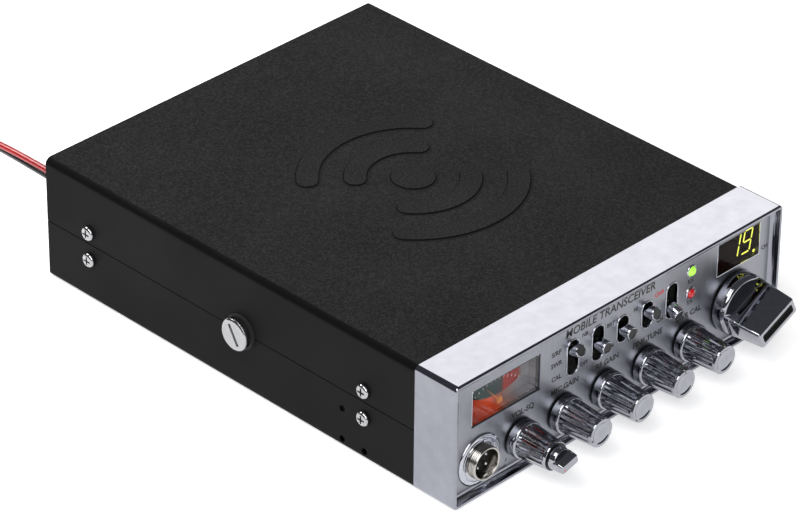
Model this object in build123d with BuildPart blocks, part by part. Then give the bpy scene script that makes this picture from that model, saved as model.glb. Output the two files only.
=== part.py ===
from build123d import *
import os
from math import cos, pi, radians, sin, tan

# Mobile transceiver. Millimetres. +X is the right-hand side seen from the front, +Y runs to the
# back and +Z is up. The origin is under the middle of the transceiver, cord left out.

# Driving dimensions
case_width = 183.0
case_length = 207.4
case_height = 55.0
sheet = 1.1
cover_bend = 3.0
floor_bend = 1.8
seam_height = 26.0
seam_gap = 0.4
emboss_height = 0.45

bezel_width = 184.0
bezel_height = 55.5
bezel_depth = 21.3
bezel_wall = 1.6
panel_setback = 3.3
panel_thickness = 1.5
ledge = 2.0
plate = 1.2

knob_reach = 26.3
antenna_reach = 13.0
running = 0.06
clear = 0.3

# Stations along Y
case_front = (bezel_depth - panel_setback + knob_reach - case_length - antenna_reach) / 2
case_rear = case_front + case_length
bezel_front = case_front - bezel_depth
panel_face = bezel_front + panel_setback
panel_back = panel_face + panel_thickness
plate_front = panel_back + ledge
plate_back = plate_front + plate
rear_inner = case_rear - plate
side_inner = case_width / 2 - sheet

# Controls on the front panel: places in X and Z
meter_x, meter_z, meter_w, meter_h = -61.4, 38.7, 37.0, 16.5
display_x, display_z, display_w, display_h = 69.9, 42.9, 24.7, 14.5
knob_z = 14.3
knob_pitch = 23.55
volume_x = -53.4
plain_knobs = ("mic_gain", "rf_gain", "fine_tune", "swr_cal")
channel_x, channel_z = 68.1, 20.2
mic_x, mic_z = -75.6, 14.6
led_x, green_z, red_z = 41.8, 45.7, 35.5
lever_z = 36.9
lever_pitch = 14.0
first_lever_x = -25.0
long_slot, short_slot, slot_width = 15.4, 11.4, 6.0
lever_names = ("meter_mode", "noise_blanker", "display_dimmer", "tone", "priority_channel")
lever_slots = (long_slot, long_slot, short_slot, short_slot, long_slot)
lever_tilts = (20.0, 0.0, 0.0, 10.0, -20.0)

# Shafts, knobs and levers
shaft_radius = 3.0
inner_shaft_radius = 1.8
pot_radius, pot_depth, bushing_radius = 8.0, 9.0, 3.6
knob_gap = 0.5
skirt_radius, skirt_end = 7.95, 4.6
body_root, body_tip, body_end = 7.2, 6.1, 20.5
volume_end = 18.7
flutes, flute_radius = 14, 0.62
shaft_end = 13.0
channel_skirt, channel_skirt_end, channel_end = 13.15, 6.6, 23.6
channel_turn = 25.0
lever_pivot_depth = 9.0
lever_tip_reach = 14.2
lever_radius = 2.7
pin_radius = 0.8

# Side fittings: distance behind the case front, and height
screw_rows = (26.8, 182.0)
screw_heights = (31.5, 19.0)
thumb_y, thumb_z = case_front + 94.4, 26.3
thumb_shaft = 2.4
hanger_y, hanger_low, hanger_spacing = case_front + 38.85, 3.4, 14.0
hanger_hole = 1.45

# Rear fittings
rear_z = 30.0
antenna_x = -28.0
jack_xs = (12.0, 32.0)
lead_x, lead_z = -70.0, 28.0

# Power lead: a bonded red and black pair, as wide as two wires, lying flat in its coil
cord_width = 5.6
cord_thickness = 2.8
relief_length = 18.0
coil_middle_radius = 5.5 * cord_width
coil_turns_across, coil_layers = 3, 2


def facing_front(y):
    """Plane across the transceiver at y: local x is X, local y is Z, its normal points to the front."""
    return Plane(origin=(0, y, 0), x_dir=(1, 0, 0), z_dir=(0, -1, 0))


def about_y(x, z):
    """Axis of a knob or socket at x, z."""
    return Axis((x, 0, z), (0, 1, 0))


def radial_plane(x, z):
    """Plane for a turned profile: local x is the radius, local y is Y."""
    return Plane(origin=(x, 0, z), x_dir=(1, 0, 0), z_dir=(0, 0, 1))


def turned(x, z, outline, mode=Mode.ADD):
    """Solid of revolution about Y from (radius, y) points."""
    with BuildSketch(radial_plane(x, z)) as profile:
        with BuildLine():
            Polyline(*outline, close=True)
        make_face()
    revolve(profile.sketch, axis=about_y(x, z), mode=mode)


def drill(x, z, radius, front, back):
    """Round hole along Y."""
    with BuildSketch(facing_front(front)) as hole:
        with Locations((x, z)):
            Circle(radius)
    extrude(hole.sketch, amount=front - back, mode=Mode.SUBTRACT)


def block(x, z, width, height, front, back, mode=Mode.ADD, radius=0):
    """Upright box between two stations along Y, centred on x, z."""
    with BuildSketch(facing_front(front)) as section:
        with Locations((x, z)):
            if radius:
                RectangleRounded(width, height, radius)
            else:
                Rectangle(width, height)
    extrude(section.sketch, amount=front - back, mode=mode)


def fluted_body(x, z, root_y, tip_y, root, tip):
    """Tapered knob body with flutes along it."""
    sections = []
    for station, radius in ((root_y, root), (tip_y, tip)):
        with BuildSketch(facing_front(station)) as section:
            with Locations((x, z)):
                Circle(radius)
                with PolarLocations(radius, flutes):
                    Circle(flute_radius, mode=Mode.SUBTRACT)
        sections.append(section.sketch)
    loft(sections, ruled=True)


def pan_head_screw(seat, outward, across):
    """Pan-head screw with a cross recess, its head seated on a face."""
    seat, outward, across = Vector(*seat), Vector(*outward), Vector(*across)
    with BuildSketch(Plane(origin=seat, x_dir=across, z_dir=across.cross(outward))) as profile:
        with BuildLine():
            Polyline((0.4, 1.9), (0, 1.9), (0, -4.4), (1.45, -4.4), (1.45, 0), (3.2, 0), (3.2, 0.6))
            ThreePointArc((3.2, 0.6), (2.3, 1.5), (0.4, 1.9))
        make_face()
    revolve(profile.sketch, axis=Axis(seat, outward))
    with BuildSketch(Plane(origin=seat + outward * 1.9, x_dir=across, z_dir=outward)) as recess:
        Rectangle(3.4, 0.7)
        Rectangle(0.7, 3.4)
    extrude(recess.sketch, amount=-1.1, mode=Mode.SUBTRACT)


lever_xs = [first_lever_x + i * lever_pitch for i in range(len(lever_names))]
knob_xs = [volume_x + (i + 1) * knob_pitch for i in range(len(plain_knobs))]
os.makedirs("parts", exist_ok=True)

# ---- Top cover: folded sheet with an embossed sign of a spreading radio wave
emboss_x, emboss_y = 3.0, case_front + 95.0
wave_radii = (23.0, 42.0)
wave_width = 9.0
top_low = seam_height + seam_gap / 2
with BuildPart() as top_cover:
    for width, low, high, bend, mode in (
        (case_width, top_low, case_height, cover_bend, Mode.ADD),
        (case_width - 2 * sheet, 0, case_height - sheet, cover_bend - sheet, Mode.SUBTRACT),
    ):
        with BuildSketch(facing_front(case_front)) as section:
            with Locations((0, (low + high) / 2)):
                Rectangle(width, high - low)
            fillet(section.vertices().group_by(Axis.Y)[-1], radius=bend)
        extrude(amount=-case_length, mode=mode)
    with BuildSketch(Plane.XY.offset(case_height - sheet / 2)):
        with Locations((emboss_x, emboss_y)):
            Circle(wave_width)
            for radius in wave_radii:
                for middle in (90, 270):
                    SlotArc(CenterArc((0, 0), radius, middle - 50, 100), height=wave_width)
    extrude(amount=sheet / 2 + emboss_height)
    with BuildSketch(Plane.YZ.offset(-case_width)):
        for row in screw_rows:
            with Locations((case_front + row, screw_heights[0])):
                Circle(1.7)
        with Locations((thumb_y, thumb_z)):
            Circle(4.2)
    extrude(amount=2 * case_width, mode=Mode.SUBTRACT)
top_cover.part.label = "top_cover"
export_step(top_cover.part, "parts/top_cover.step")

# ---- Bottom cover: folded sheet with a slotted grille under the speaker
speaker_y = case_front + 120.0
speaker_radius = 38.0
with BuildPart() as bottom_cover:
    for width, low, high, bend, mode in (
        (case_width, 0, seam_height - seam_gap / 2, floor_bend, Mode.ADD),
        (case_width - 2 * sheet, sheet, case_height, floor_bend - sheet, Mode.SUBTRACT),
    ):
        with BuildSketch(facing_front(case_front)) as section:
            with Locations((0, (low + high) / 2)):
                Rectangle(width, high - low)
            fillet(section.vertices().group_by(Axis.Y)[0], radius=bend)
        extrude(amount=-case_length, mode=mode)
    with BuildSketch(Plane.XY):
        with Locations((0, speaker_y)):
            with GridLocations(0, 6.0, 1, 9):
                SlotOverall(54.0, 2.6)
    extrude(amount=sheet, mode=Mode.SUBTRACT)
    with BuildSketch(Plane.YZ.offset(-case_width)):
        for row in screw_rows:
            with Locations((case_front + row, screw_heights[1])):
                Circle(1.7)
        with Locations((thumb_y, thumb_z)):
            Circle(4.2)
    extrude(amount=2 * case_width, mode=Mode.SUBTRACT)
    with BuildSketch(Plane.YZ.offset(-case_width)):
        with Locations((hanger_y, hanger_low), (hanger_y, hanger_low + hanger_spacing),
                       (case_front + 26.8, hanger_low)):
            Circle(hanger_hole)
    extrude(amount=case_width, mode=Mode.SUBTRACT)
bottom_cover.part.label = "bottom_cover"
export_step(bottom_cover.part, "parts/bottom_cover.step")

# ---- Chassis: front plate, two side rails with a shelf for the board, rear tabs, weld nuts
rail_low, rail_high = 12.0, 44.0
board_low, board_thickness = 29.0, 1.6
shelf_width = 6.2
nut_radius, nut_length = 4.4, 3.0
with BuildPart() as chassis_frame:
    block(0, 27.5, 2 * side_inner, 46.0, plate_front, plate_back)
    for side in (-1, 1):
        rail_x = side * (side_inner - plate / 2)
        rail_z = (rail_low + rail_high) / 2
        block(rail_x, rail_z, plate, rail_high - rail_low, plate_back, rear_inner)
        shelf_x = side * (side_inner - plate - shelf_width / 2)
        block(shelf_x, board_low - plate / 2, shelf_width, plate, plate_back + 10, rear_inner)
        tab_x = side * (side_inner - 5.0)
        block(tab_x, rail_z, 10.0, rail_high - rail_low, rear_inner - plate, rear_inner)
    with BuildSketch(Plane.YZ.offset(-case_width)):
        with Locations((thumb_y, thumb_z)):
            Rectangle(20.0, 8.0)
    extrude(amount=2 * case_width, mode=Mode.SUBTRACT)
    for side in (-1, 1):
        face = Plane(origin=(side * side_inner, thumb_y, thumb_z), x_dir=(0, 1, 0), z_dir=(-side, 0, 0))
        with BuildSketch(face):
            Rectangle(20.0, 8.0)
        extrude(amount=plate)
        with BuildSketch(face):
            Circle(nut_radius)
        extrude(amount=plate + nut_length)
        with BuildSketch(face):
            Circle(thumb_shaft + running)
        extrude(amount=plate + nut_length, mode=Mode.SUBTRACT)
    with BuildSketch(Plane.YZ.offset(-case_width)):
        for row in screw_rows:
            for height in screw_heights:
                with Locations((case_front + row, height)):
                    Circle(1.55)
    extrude(amount=2 * case_width, mode=Mode.SUBTRACT)
    with BuildSketch(Plane.YZ.offset(-case_width)):
        with Locations((hanger_y, hanger_low + hanger_spacing)):
            Circle(hanger_hole)
    extrude(amount=case_width, mode=Mode.SUBTRACT)
    for x in (-85.0, 85.0):
        for z in (18.0, 38.0):
            drill(x, z, 1.55, rear_inner - 2 * plate, case_rear)
    block(meter_x, meter_z, meter_w + 0.4, meter_h + 0.4, plate_front, plate_back, Mode.SUBTRACT)
    block(display_x, display_z, display_w + 0.4, display_h + 0.4, plate_front, plate_back, Mode.SUBTRACT)
    for x in [volume_x] + knob_xs:
        drill(x, knob_z, bushing_radius + 0.1, plate_front, plate_back)
    drill(channel_x, channel_z, bushing_radius + 0.1, plate_front, plate_back)
    drill(mic_x, mic_z, 7.3, plate_front, plate_back)
    for z in (green_z, red_z):
        drill(led_x, z, 2.3, plate_front, plate_back)
    for x in lever_xs:
        block(x, lever_z, slot_width, 13.0, plate_front, plate_back, Mode.SUBTRACT)
chassis_frame.part.label = "chassis_frame"
export_step(chassis_frame.part, "parts/chassis_frame.step")

# ---- Rear panel
rear_height = case_height - 2 * sheet - 0.2
jack_radius = 1.8
jack_thread = 3.0
with BuildPart() as rear_panel:
    block(0, case_height / 2, 2 * side_inner - 0.2, rear_height, rear_inner, case_rear, radius=2.0)
    drill(antenna_x, rear_z, 6.6, rear_inner, case_rear)
    drill(lead_x, lead_z, 4.6, rear_inner, case_rear)
    for x in jack_xs:
        drill(x, rear_z, jack_thread, rear_inner, case_rear)
    for x in (-85.0, 85.0):
        for z in (18.0, 38.0):
            drill(x, z, 1.7, rear_inner, case_rear)
rear_panel.part.label = "rear_panel"
export_step(rear_panel.part, "parts/rear_panel.step")

# ---- Bezel: chrome frame round the front panel, with a ledge that the panel rests on
opening_w = bezel_width - 2 * bezel_wall
opening_h = bezel_height - 2 * bezel_wall
bezel_z = bezel_height / 2
with BuildPart() as front_bezel:
    block(0, bezel_z, bezel_width, bezel_height, bezel_front, case_front, radius=2.2)
    fillet(front_bezel.faces().sort_by(Axis.Y)[0].outer_wire().edges(), radius=0.9)
    block(0, bezel_z, opening_w, opening_h, bezel_front, panel_back, Mode.SUBTRACT, 0.8)
    block(0, bezel_z, opening_w - 4.0, opening_h - 4.0, panel_back, plate_front, Mode.SUBTRACT, 0.8)
    block(0, bezel_z, opening_w, opening_h, plate_front, case_front, Mode.SUBTRACT, 0.8)
front_bezel.part.label = "front_bezel"
export_step(front_bezel.part, "parts/front_bezel.step")

# ---- Front panel
with BuildPart() as front_panel:
    block(0, bezel_z, opening_w, opening_h, panel_face, panel_back, radius=0.8)
    block(meter_x, meter_z, meter_w, meter_h, panel_face, panel_back, Mode.SUBTRACT)
    block(display_x, display_z, display_w, display_h, panel_face, panel_back, Mode.SUBTRACT)
    for x in [volume_x] + knob_xs:
        drill(x, knob_z, bushing_radius + 0.1, panel_face, panel_back)
    drill(channel_x, channel_z, bushing_radius + 0.1, panel_face, panel_back)
    drill(mic_x, mic_z, 7.3, panel_face, panel_back)
    for z in (green_z, red_z):
        drill(led_x, z, 2.3, panel_face, panel_back)
    for x, length in zip(lever_xs, lever_slots):
        with BuildSketch(facing_front(panel_face)):
            with Locations((x, lever_z)):
                SlotOverall(length, slot_width, rotation=90)
        extrude(amount=-panel_thickness, mode=Mode.SUBTRACT)
front_panel.part.label = "front_panel"
export_step(front_panel.part, "parts/front_panel.step")

rim_proud, rim_wall = 0.35, 0.45
with BuildPart() as switch_slot_rims:
    for x, length in zip(lever_xs, lever_slots):
        with BuildSketch(facing_front(panel_face)):
            with Locations((x, lever_z)):
                SlotOverall(length + 2 * rim_wall, slot_width + 2 * rim_wall, rotation=90)
                SlotOverall(length, slot_width, rotation=90, mode=Mode.SUBTRACT)
        extrude(amount=rim_proud)
switch_slot_rims.part.label = "switch_slot_rims"
export_step(switch_slot_rims.part, "parts/switch_slot_rims.step")

# ---- Signal meter: lens box, printed dial, housing with the movement's bearing, needle
lens_w, lens_h = meter_w - 0.2, meter_h - 0.2
lens_front, dial_front = panel_face + 0.4, panel_face + 5.2
dial_back = dial_front + 0.6
meter_back = panel_face + 20.0
pivot_z = meter_z - 5.6
needle_lean = 42.0
needle_length = 11.0
arbor_radius = 0.5
with BuildPart() as meter_lens:
    block(meter_x, meter_z, lens_w, lens_h, lens_front, dial_front, radius=0.6)
    block(meter_x, meter_z, lens_w - 2.0, lens_h - 2.0, lens_front + 1.0, dial_front, Mode.SUBTRACT)
meter_lens.part.label = "meter_lens"
export_step(meter_lens.part, "parts/meter_lens.step")

with BuildPart() as meter_dial:
    block(meter_x, meter_z, lens_w, lens_h, dial_front, dial_back)
    drill(meter_x, pivot_z, arbor_radius + clear, dial_front, dial_back)
meter_dial.part.label = "meter_dial"
export_step(meter_dial.part, "parts/meter_dial.step")

with BuildPart() as meter_housing:
    block(meter_x, meter_z, lens_w, lens_h, dial_back, meter_back, radius=0.6)
    drill(meter_x, pivot_z, arbor_radius + running, dial_back, dial_back + 7.0)
    for x in (meter_x - 12.0, meter_x + 12.0):
        drill(x, meter_z, 2.6, meter_back - 6.0, meter_back)
meter_housing.part.label = "meter_housing"
export_step(meter_housing.part, "parts/meter_housing.step")

needle_front = dial_front - 1.6
tip = (meter_x - needle_length * sin(radians(needle_lean)),
       pivot_z + needle_length * cos(radians(needle_lean)))
with BuildPart() as meter_needle:
    turned(meter_x, pivot_z, ((0, needle_front), (1.5, needle_front), (1.5, needle_front + 0.8),
                              (arbor_radius, needle_front + 0.8), (arbor_radius, dial_back + 6.6),
                              (0, dial_back + 6.6)))
    with BuildSketch(facing_front(needle_front)):
        with BuildLine():
            Polyline((meter_x - 0.35, pivot_z), (meter_x + 0.35, pivot_z), tip, close=True)
        make_face()
    extrude(amount=-0.5)
meter_needle.part.label = "meter_needle"
export_step(meter_needle.part, "parts/meter_needle.step")

# ---- Channel display: tinted window in front of a two-digit module
window_front, module_front, module_back = panel_face + 0.3, panel_face + 1.8, panel_face + 12.0
with BuildPart() as display_window:
    block(display_x, display_z, display_w - 0.2, display_h - 0.2, window_front, module_front)
display_window.part.label = "display_window"
export_step(display_window.part, "parts/display_window.step")

with BuildPart() as display_module:
    block(display_x, display_z, display_w - 0.2, display_h - 0.2, module_front, module_back)
display_module.part.label = "display_module"
export_step(display_module.part, "parts/display_module.step")

# ---- Lamps: turned holders with a domed lamp in each
dome_radius, dome_reach = 2.0, 1.7
with BuildPart() as lamp_holders:
    for z in (green_z, red_z):
        turned(led_x, z, ((dome_radius, panel_face - 0.6), (2.5, panel_face - 0.6), (2.9, panel_face),
                          (2.3, panel_face), (2.3, panel_back), (dome_radius, panel_back)))
lamp_holders.part.label = "lamp_holders"
export_step(lamp_holders.part, "parts/lamp_holders.step")

for name, z in (("receive_lamp", green_z), ("transmit_lamp", red_z)):
    with BuildPart() as lamp:
        with BuildSketch(radial_plane(led_x, z)):
            with BuildLine():
                Polyline((0.2, panel_face - dome_reach), (0, panel_face - dome_reach), (0, plate_back + 2),
                         (dome_radius, plate_back + 2), (dome_radius, panel_face - 0.4))
                ThreePointArc((dome_radius, panel_face - 0.4), (1.4, panel_face - 1.32),
                              (0.2, panel_face - dome_reach))
            make_face()
        revolve(axis=about_y(led_x, z))
    lamp.part.label = name
    export_step(lamp.part, f"parts/{name}.step")

# ---- Microphone socket: flanged shell with a threaded barrel, black insert, four pins
mic_barrel, mic_bore, mic_flange = 7.1, 6.1, 11.2
mic_rim = panel_face - 4.5
mic_back = plate_back + 8.0
insert_face = mic_rim + 6.2
mic_pin_radius, mic_pin_circle = 0.7, 3.9
with BuildPart() as mic_socket_shell:
    turned(mic_x, mic_z, (
        (mic_bore, mic_rim), (mic_barrel - 0.3, mic_rim), (mic_barrel, mic_rim + 0.3),
        (mic_barrel, panel_face - 1.0), (mic_flange - 0.6, panel_face - 1.0),
        (mic_flange, panel_face - 0.4), (mic_flange, panel_face), (mic_barrel, panel_face),
        (mic_barrel, mic_back), (mic_bore, mic_back)))
    block(mic_x, mic_z - mic_bore + 0.35, 1.8, 1.3, mic_rim + 0.4, insert_face)
mic_socket_shell.part.label = "mic_socket_shell"
export_step(mic_socket_shell.part, "parts/mic_socket_shell.step")

with BuildPart() as mic_socket_insert:
    turned(mic_x, mic_z, ((0, insert_face), (mic_bore, insert_face), (mic_bore, mic_back), (0, mic_back)))
mic_socket_insert.part.label = "mic_socket_insert"
export_step(mic_socket_insert.part, "parts/mic_socket_insert.step")

with BuildPart() as mic_socket_pins:
    with BuildSketch(facing_front(insert_face)):
        with Locations((mic_x, mic_z)):
            with PolarLocations(mic_pin_circle, 4, start_angle=45):
                Circle(mic_pin_radius)
    extrude(amount=5.0)
    chamfer(mic_socket_pins.faces().group_by(Axis.Y)[0].edges(), length=0.25)
mic_socket_pins.part.label = "mic_socket_pins"
export_step(mic_socket_pins.part, "parts/mic_socket_pins.step")

# ---- Controls behind the plate: potentiometers, channel switch, toggle switch bodies
with BuildPart() as potentiometers:
    for x in [volume_x] + knob_xs:
        turned(x, knob_z, (
            (shaft_radius + running, panel_face - 0.2), (bushing_radius, panel_face - 0.2),
            (bushing_radius, plate_back), (pot_radius, plate_back), (pot_radius, plate_back + pot_depth),
            (0, plate_back + pot_depth), (0, plate_back + 7.0), (shaft_radius + running, plate_back + 7.0)))
potentiometers.part.label = "potentiometers"
export_step(potentiometers.part, "parts/potentiometers.step")

with BuildPart() as channel_switch:
    turned(channel_x, channel_z, (
        (shaft_radius + running, panel_face - 0.2), (bushing_radius, panel_face - 0.2),
        (bushing_radius, plate_back), (11.5, plate_back), (11.5, plate_back + 13.0),
        (0, plate_back + 13.0), (0, plate_back + 9.0), (shaft_radius + running, plate_back + 9.0)))
channel_switch.part.label = "channel_switch"
export_step(channel_switch.part, "parts/channel_switch.step")

pivot_y = panel_face + lever_pivot_depth
cavity_half = 2.7
with BuildPart() as toggle_bodies:
    for x in lever_xs:
        block(x, lever_z, 9.0, 16.0, plate_back, pivot_y + 8.0)
        block(x, lever_z, 2 * cavity_half, 11.0, plate_back, pivot_y + 3.5, Mode.SUBTRACT)
        with BuildSketch(Plane.YZ.offset(x - 4.5)):
            with Locations((pivot_y, lever_z)):
                Circle(pin_radius + running)
        extrude(amount=9.0, mode=Mode.SUBTRACT)
toggle_bodies.part.label = "toggle_bodies"
export_step(toggle_bodies.part, "parts/toggle_bodies.step")

# ---- Toggle levers: bat, stem, ball and cross pin, tilted to where each one stands
ball_radius, stem_radius = 2.1, 1.5
for name, x, tilt in zip(lever_names, lever_xs, lever_tilts):
    reach = Vector(0, -cos(radians(tilt)), sin(radians(tilt)))
    pivot = Vector(x, pivot_y, lever_z)
    with BuildPart() as lever:
        with BuildSketch(Plane(origin=pivot, x_dir=(1, 0, 0), z_dir=Vector(1, 0, 0).cross(reach))):
            with BuildLine():
                Polyline((0, lever_tip_reach), (0, -ball_radius))
                ThreePointArc((0, -ball_radius), (ball_radius, 0), (stem_radius, 1.47))
                Polyline((stem_radius, 1.47), (stem_radius, 5.6), (lever_radius - 0.3, 6.6),
                         (lever_radius, lever_tip_reach - 1.0))
                ThreePointArc((lever_radius, lever_tip_reach - 1.0),
                              (lever_radius - 0.35, lever_tip_reach - 0.25),
                              (lever_radius - 1.2, lever_tip_reach))
                Line((lever_radius - 1.2, lever_tip_reach), (0, lever_tip_reach))
            make_face()
        revolve(axis=Axis(pivot, reach))
        with BuildSketch(Plane(origin=(x - 4.4, pivot_y, lever_z), x_dir=(0, 1, 0), z_dir=(1, 0, 0))):
            Circle(pin_radius)
        extrude(amount=8.8)
    lever.part.label = f"{name}_lever"
    export_step(lever.part, f"parts/{name}_lever.step")

# ---- Volume and squelch: two knobs on concentric shafts
knob_back = panel_face - knob_gap
shaft_tip = panel_face - shaft_end
tube_bore = inner_shaft_radius + running
with BuildPart() as volume_knob:
    turned(volume_x, knob_z, ((0, knob_back), (skirt_radius, knob_back),
                              (skirt_radius, panel_face - skirt_end + 0.5),
                              (skirt_radius - 0.5, panel_face - skirt_end), (0, panel_face - skirt_end)))
    fluted_body(volume_x, knob_z, panel_face - skirt_end, panel_face - volume_end, body_root, body_tip)
    drill(volume_x, knob_z, shaft_radius, shaft_tip, knob_back)
    drill(volume_x, knob_z, tube_bore, panel_face - volume_end, shaft_tip)
volume_knob.part.label = "volume_knob"
export_step(volume_knob.part, "parts/volume_knob.step")

with BuildPart() as volume_shaft:
    turned(volume_x, knob_z, ((tube_bore, shaft_tip), (shaft_radius, shaft_tip),
                              (shaft_radius, plate_back + 4.0), (tube_bore, plate_back + 4.0)))
volume_shaft.part.label = "volume_shaft"
export_step(volume_shaft.part, "parts/volume_shaft.step")

squelch_back = panel_face - volume_end - 0.6
squelch_step = panel_face - 22.0
squelch_tip = panel_face - knob_reach
squelch_turn = 15.0
with BuildPart() as squelch_knob:
    turned(volume_x, knob_z, ((0, squelch_back), (5.0, squelch_back), (4.7, squelch_step), (0, squelch_step)))
    for station, width, height in ((squelch_step, 9.4, 4.6), (squelch_tip, 8.8, 3.6)):
        with BuildSketch(facing_front(station)):
            with Locations((volume_x, knob_z)):
                Rectangle(width, height, rotation=squelch_turn)
    loft(ruled=True)
    drill(volume_x, knob_z, inner_shaft_radius, squelch_step, squelch_back)
squelch_knob.part.label = "squelch_knob"
export_step(squelch_knob.part, "parts/squelch_knob.step")

with BuildPart() as squelch_shaft:
    turned(volume_x, knob_z, ((0, squelch_step), (inner_shaft_radius, squelch_step),
                              (inner_shaft_radius, plate_back + 6.6), (0, plate_back + 6.6)))
squelch_shaft.part.label = "squelch_shaft"
export_step(squelch_shaft.part, "parts/squelch_shaft.step")

# ---- Four plain knobs and their shafts
for name, x in zip(plain_knobs, knob_xs):
    with BuildPart() as knob:
        turned(x, knob_z, ((0, knob_back), (skirt_radius, knob_back),
                           (skirt_radius, panel_face - skirt_end + 0.5),
                           (skirt_radius - 0.5, panel_face - skirt_end), (0, panel_face - skirt_end)))
        fluted_body(x, knob_z, panel_face - skirt_end, panel_face - body_end, body_root, body_tip)
        turned(x, knob_z, ((0, panel_face - body_end), (4.4, panel_face - body_end),
                           (4.0, panel_face - body_end + 0.5), (0, panel_face - body_end + 0.9)),
               Mode.SUBTRACT)
        drill(x, knob_z, shaft_radius, shaft_tip, knob_back)
    knob.part.label = f"{name}_knob"
    export_step(knob.part, f"parts/{name}_knob.step")

    with BuildPart() as shaft:
        turned(x, knob_z, ((0, shaft_tip), (shaft_radius, shaft_tip), (shaft_radius, plate_back + 6.6),
                           (0, plate_back + 6.6)))
    shaft.part.label = f"{name}_shaft"
    export_step(shaft.part, f"parts/{name}_shaft.step")

# ---- Channel selector: round skirt with a wide bar grip
channel_step = panel_face - channel_skirt_end
channel_tip = panel_face - channel_end
with BuildPart() as channel_knob:
    turned(channel_x, channel_z, (
        (0, knob_back), (channel_skirt, knob_back), (channel_skirt, channel_step + 1.6),
        (channel_skirt - 1.6, channel_step), (0, channel_step)))
    for station, width, height in ((channel_step + 0.4, 23.4, 11.0), (channel_tip, 21.6, 7.8)):
        with BuildSketch(facing_front(station)):
            with Locations((channel_x, channel_z)):
                Rectangle(width, height, rotation=channel_turn)
    loft(ruled=True)
    with BuildSketch(facing_front(channel_tip)):
        with Locations((channel_x, channel_z)):
            RectangleRounded(18.6, 4.4, 1.0, rotation=channel_turn)
    extrude(amount=-1.0, mode=Mode.SUBTRACT)
    drill(channel_x, channel_z, shaft_radius, shaft_tip, knob_back)
channel_knob.part.label = "channel_knob"
export_step(channel_knob.part, "parts/channel_knob.step")

with BuildPart() as channel_shaft:
    turned(channel_x, channel_z, ((0, shaft_tip), (shaft_radius, shaft_tip), (shaft_radius, plate_back + 8.6),
                                  (0, plate_back + 8.6)))
channel_shaft.part.label = "channel_shaft"
export_step(channel_shaft.part, "parts/channel_shaft.step")

# ---- Bracket thumb screws with their washers
washer_radius, washer_thickness = 7.5, 1.2
thumb_radius, thumb_thickness = 7.0, 3.2
washer_gap = 0.1
for side, name in ((-1, "thumb_screw_left"), (1, "thumb_screw_right")):
    head_x = side * (case_width / 2 + washer_thickness + washer_gap)
    head_plane = Plane(origin=(head_x, thumb_y, thumb_z), x_dir=(0, 1, 0), z_dir=(side, 0, 0))
    with BuildPart() as thumb_screw:
        with BuildSketch(head_plane):
            Circle(thumb_radius)
        extrude(amount=thumb_thickness)
        chamfer(thumb_screw.edges().filter_by(GeomType.CIRCLE), length=0.5)
        with BuildSketch(head_plane.offset(thumb_thickness)):
            Rectangle(2 * thumb_radius, 1.4, rotation=60)
        extrude(amount=-1.3, mode=Mode.SUBTRACT)
        with BuildSketch(head_plane):
            Circle(thumb_shaft)
        extrude(amount=-7.4)
    thumb_screw.part.label = name
    export_step(thumb_screw.part, f"parts/{name}.step")

with BuildPart() as thumb_washers:
    for side in (-1, 1):
        with BuildSketch(Plane(origin=(side * case_width / 2, thumb_y, thumb_z), x_dir=(0, 1, 0),
                               z_dir=(side, 0, 0))):
            Circle(washer_radius)
            Circle(thumb_shaft + running, mode=Mode.SUBTRACT)
        extrude(amount=washer_thickness)
thumb_washers.part.label = "thumb_washers"
export_step(thumb_washers.part, "parts/thumb_washers.step")

# ---- Screws: eight in the sides, four in the rear panel
with BuildPart() as case_screws:
    for side in (-1, 1):
        for row in screw_rows:
            for height in screw_heights:
                pan_head_screw((side * case_width / 2, case_front + row, height), (side, 0, 0), (0, 1, 0))
        for height in (18.0, 38.0):
            pan_head_screw((side * 85.0, case_rear, height), (0, 1, 0), (1, 0, 0))
case_screws.part.label = "case_screws"
export_step(case_screws.part, "parts/case_screws.step")

# ---- Antenna socket: threaded shell on a square flange, insulator, centre contact
antenna_radius, antenna_bore = 7.94, 6.1
antenna_tip = case_rear + antenna_reach
contact_radius = 2.0
with BuildPart() as antenna_shell:
    block(antenna_x, rear_z, 25.0, 25.0, case_rear, case_rear + 1.6, radius=2.0)
    turned(antenna_x, rear_z, (
        (0, case_rear + 1.6), (antenna_radius, case_rear + 1.6), (antenna_radius, antenna_tip - 0.4),
        (antenna_radius - 0.4, antenna_tip), (0, antenna_tip)))
    drill(antenna_x, rear_z, antenna_bore, case_rear, antenna_tip)
    for x in (-9.2, 9.2):
        for z in (-9.2, 9.2):
            drill(antenna_x + x, rear_z + z, 1.6, case_rear, case_rear + 1.6)
antenna_shell.part.label = "antenna_shell"
export_step(antenna_shell.part, "parts/antenna_shell.step")

with BuildPart() as antenna_insulator:
    turned(antenna_x, rear_z, ((2.8, rear_inner - 3.0), (antenna_bore, rear_inner - 3.0),
                               (antenna_bore, antenna_tip - 5.5), (2.8, antenna_tip - 5.5)))
antenna_insulator.part.label = "antenna_insulator"
export_step(antenna_insulator.part, "parts/antenna_insulator.step")

with BuildPart() as antenna_contact:
    turned(antenna_x, rear_z, (
        (0, rear_inner - 8.0), (1.2, rear_inner - 8.0), (2.8, rear_inner - 3.0), (2.8, antenna_tip - 5.5),
        (contact_radius, antenna_tip - 5.5), (contact_radius, rear_inner - 1.0), (0, rear_inner - 1.0)))
antenna_contact.part.label = "antenna_contact"
export_step(antenna_contact.part, "parts/antenna_contact.step")

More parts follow.
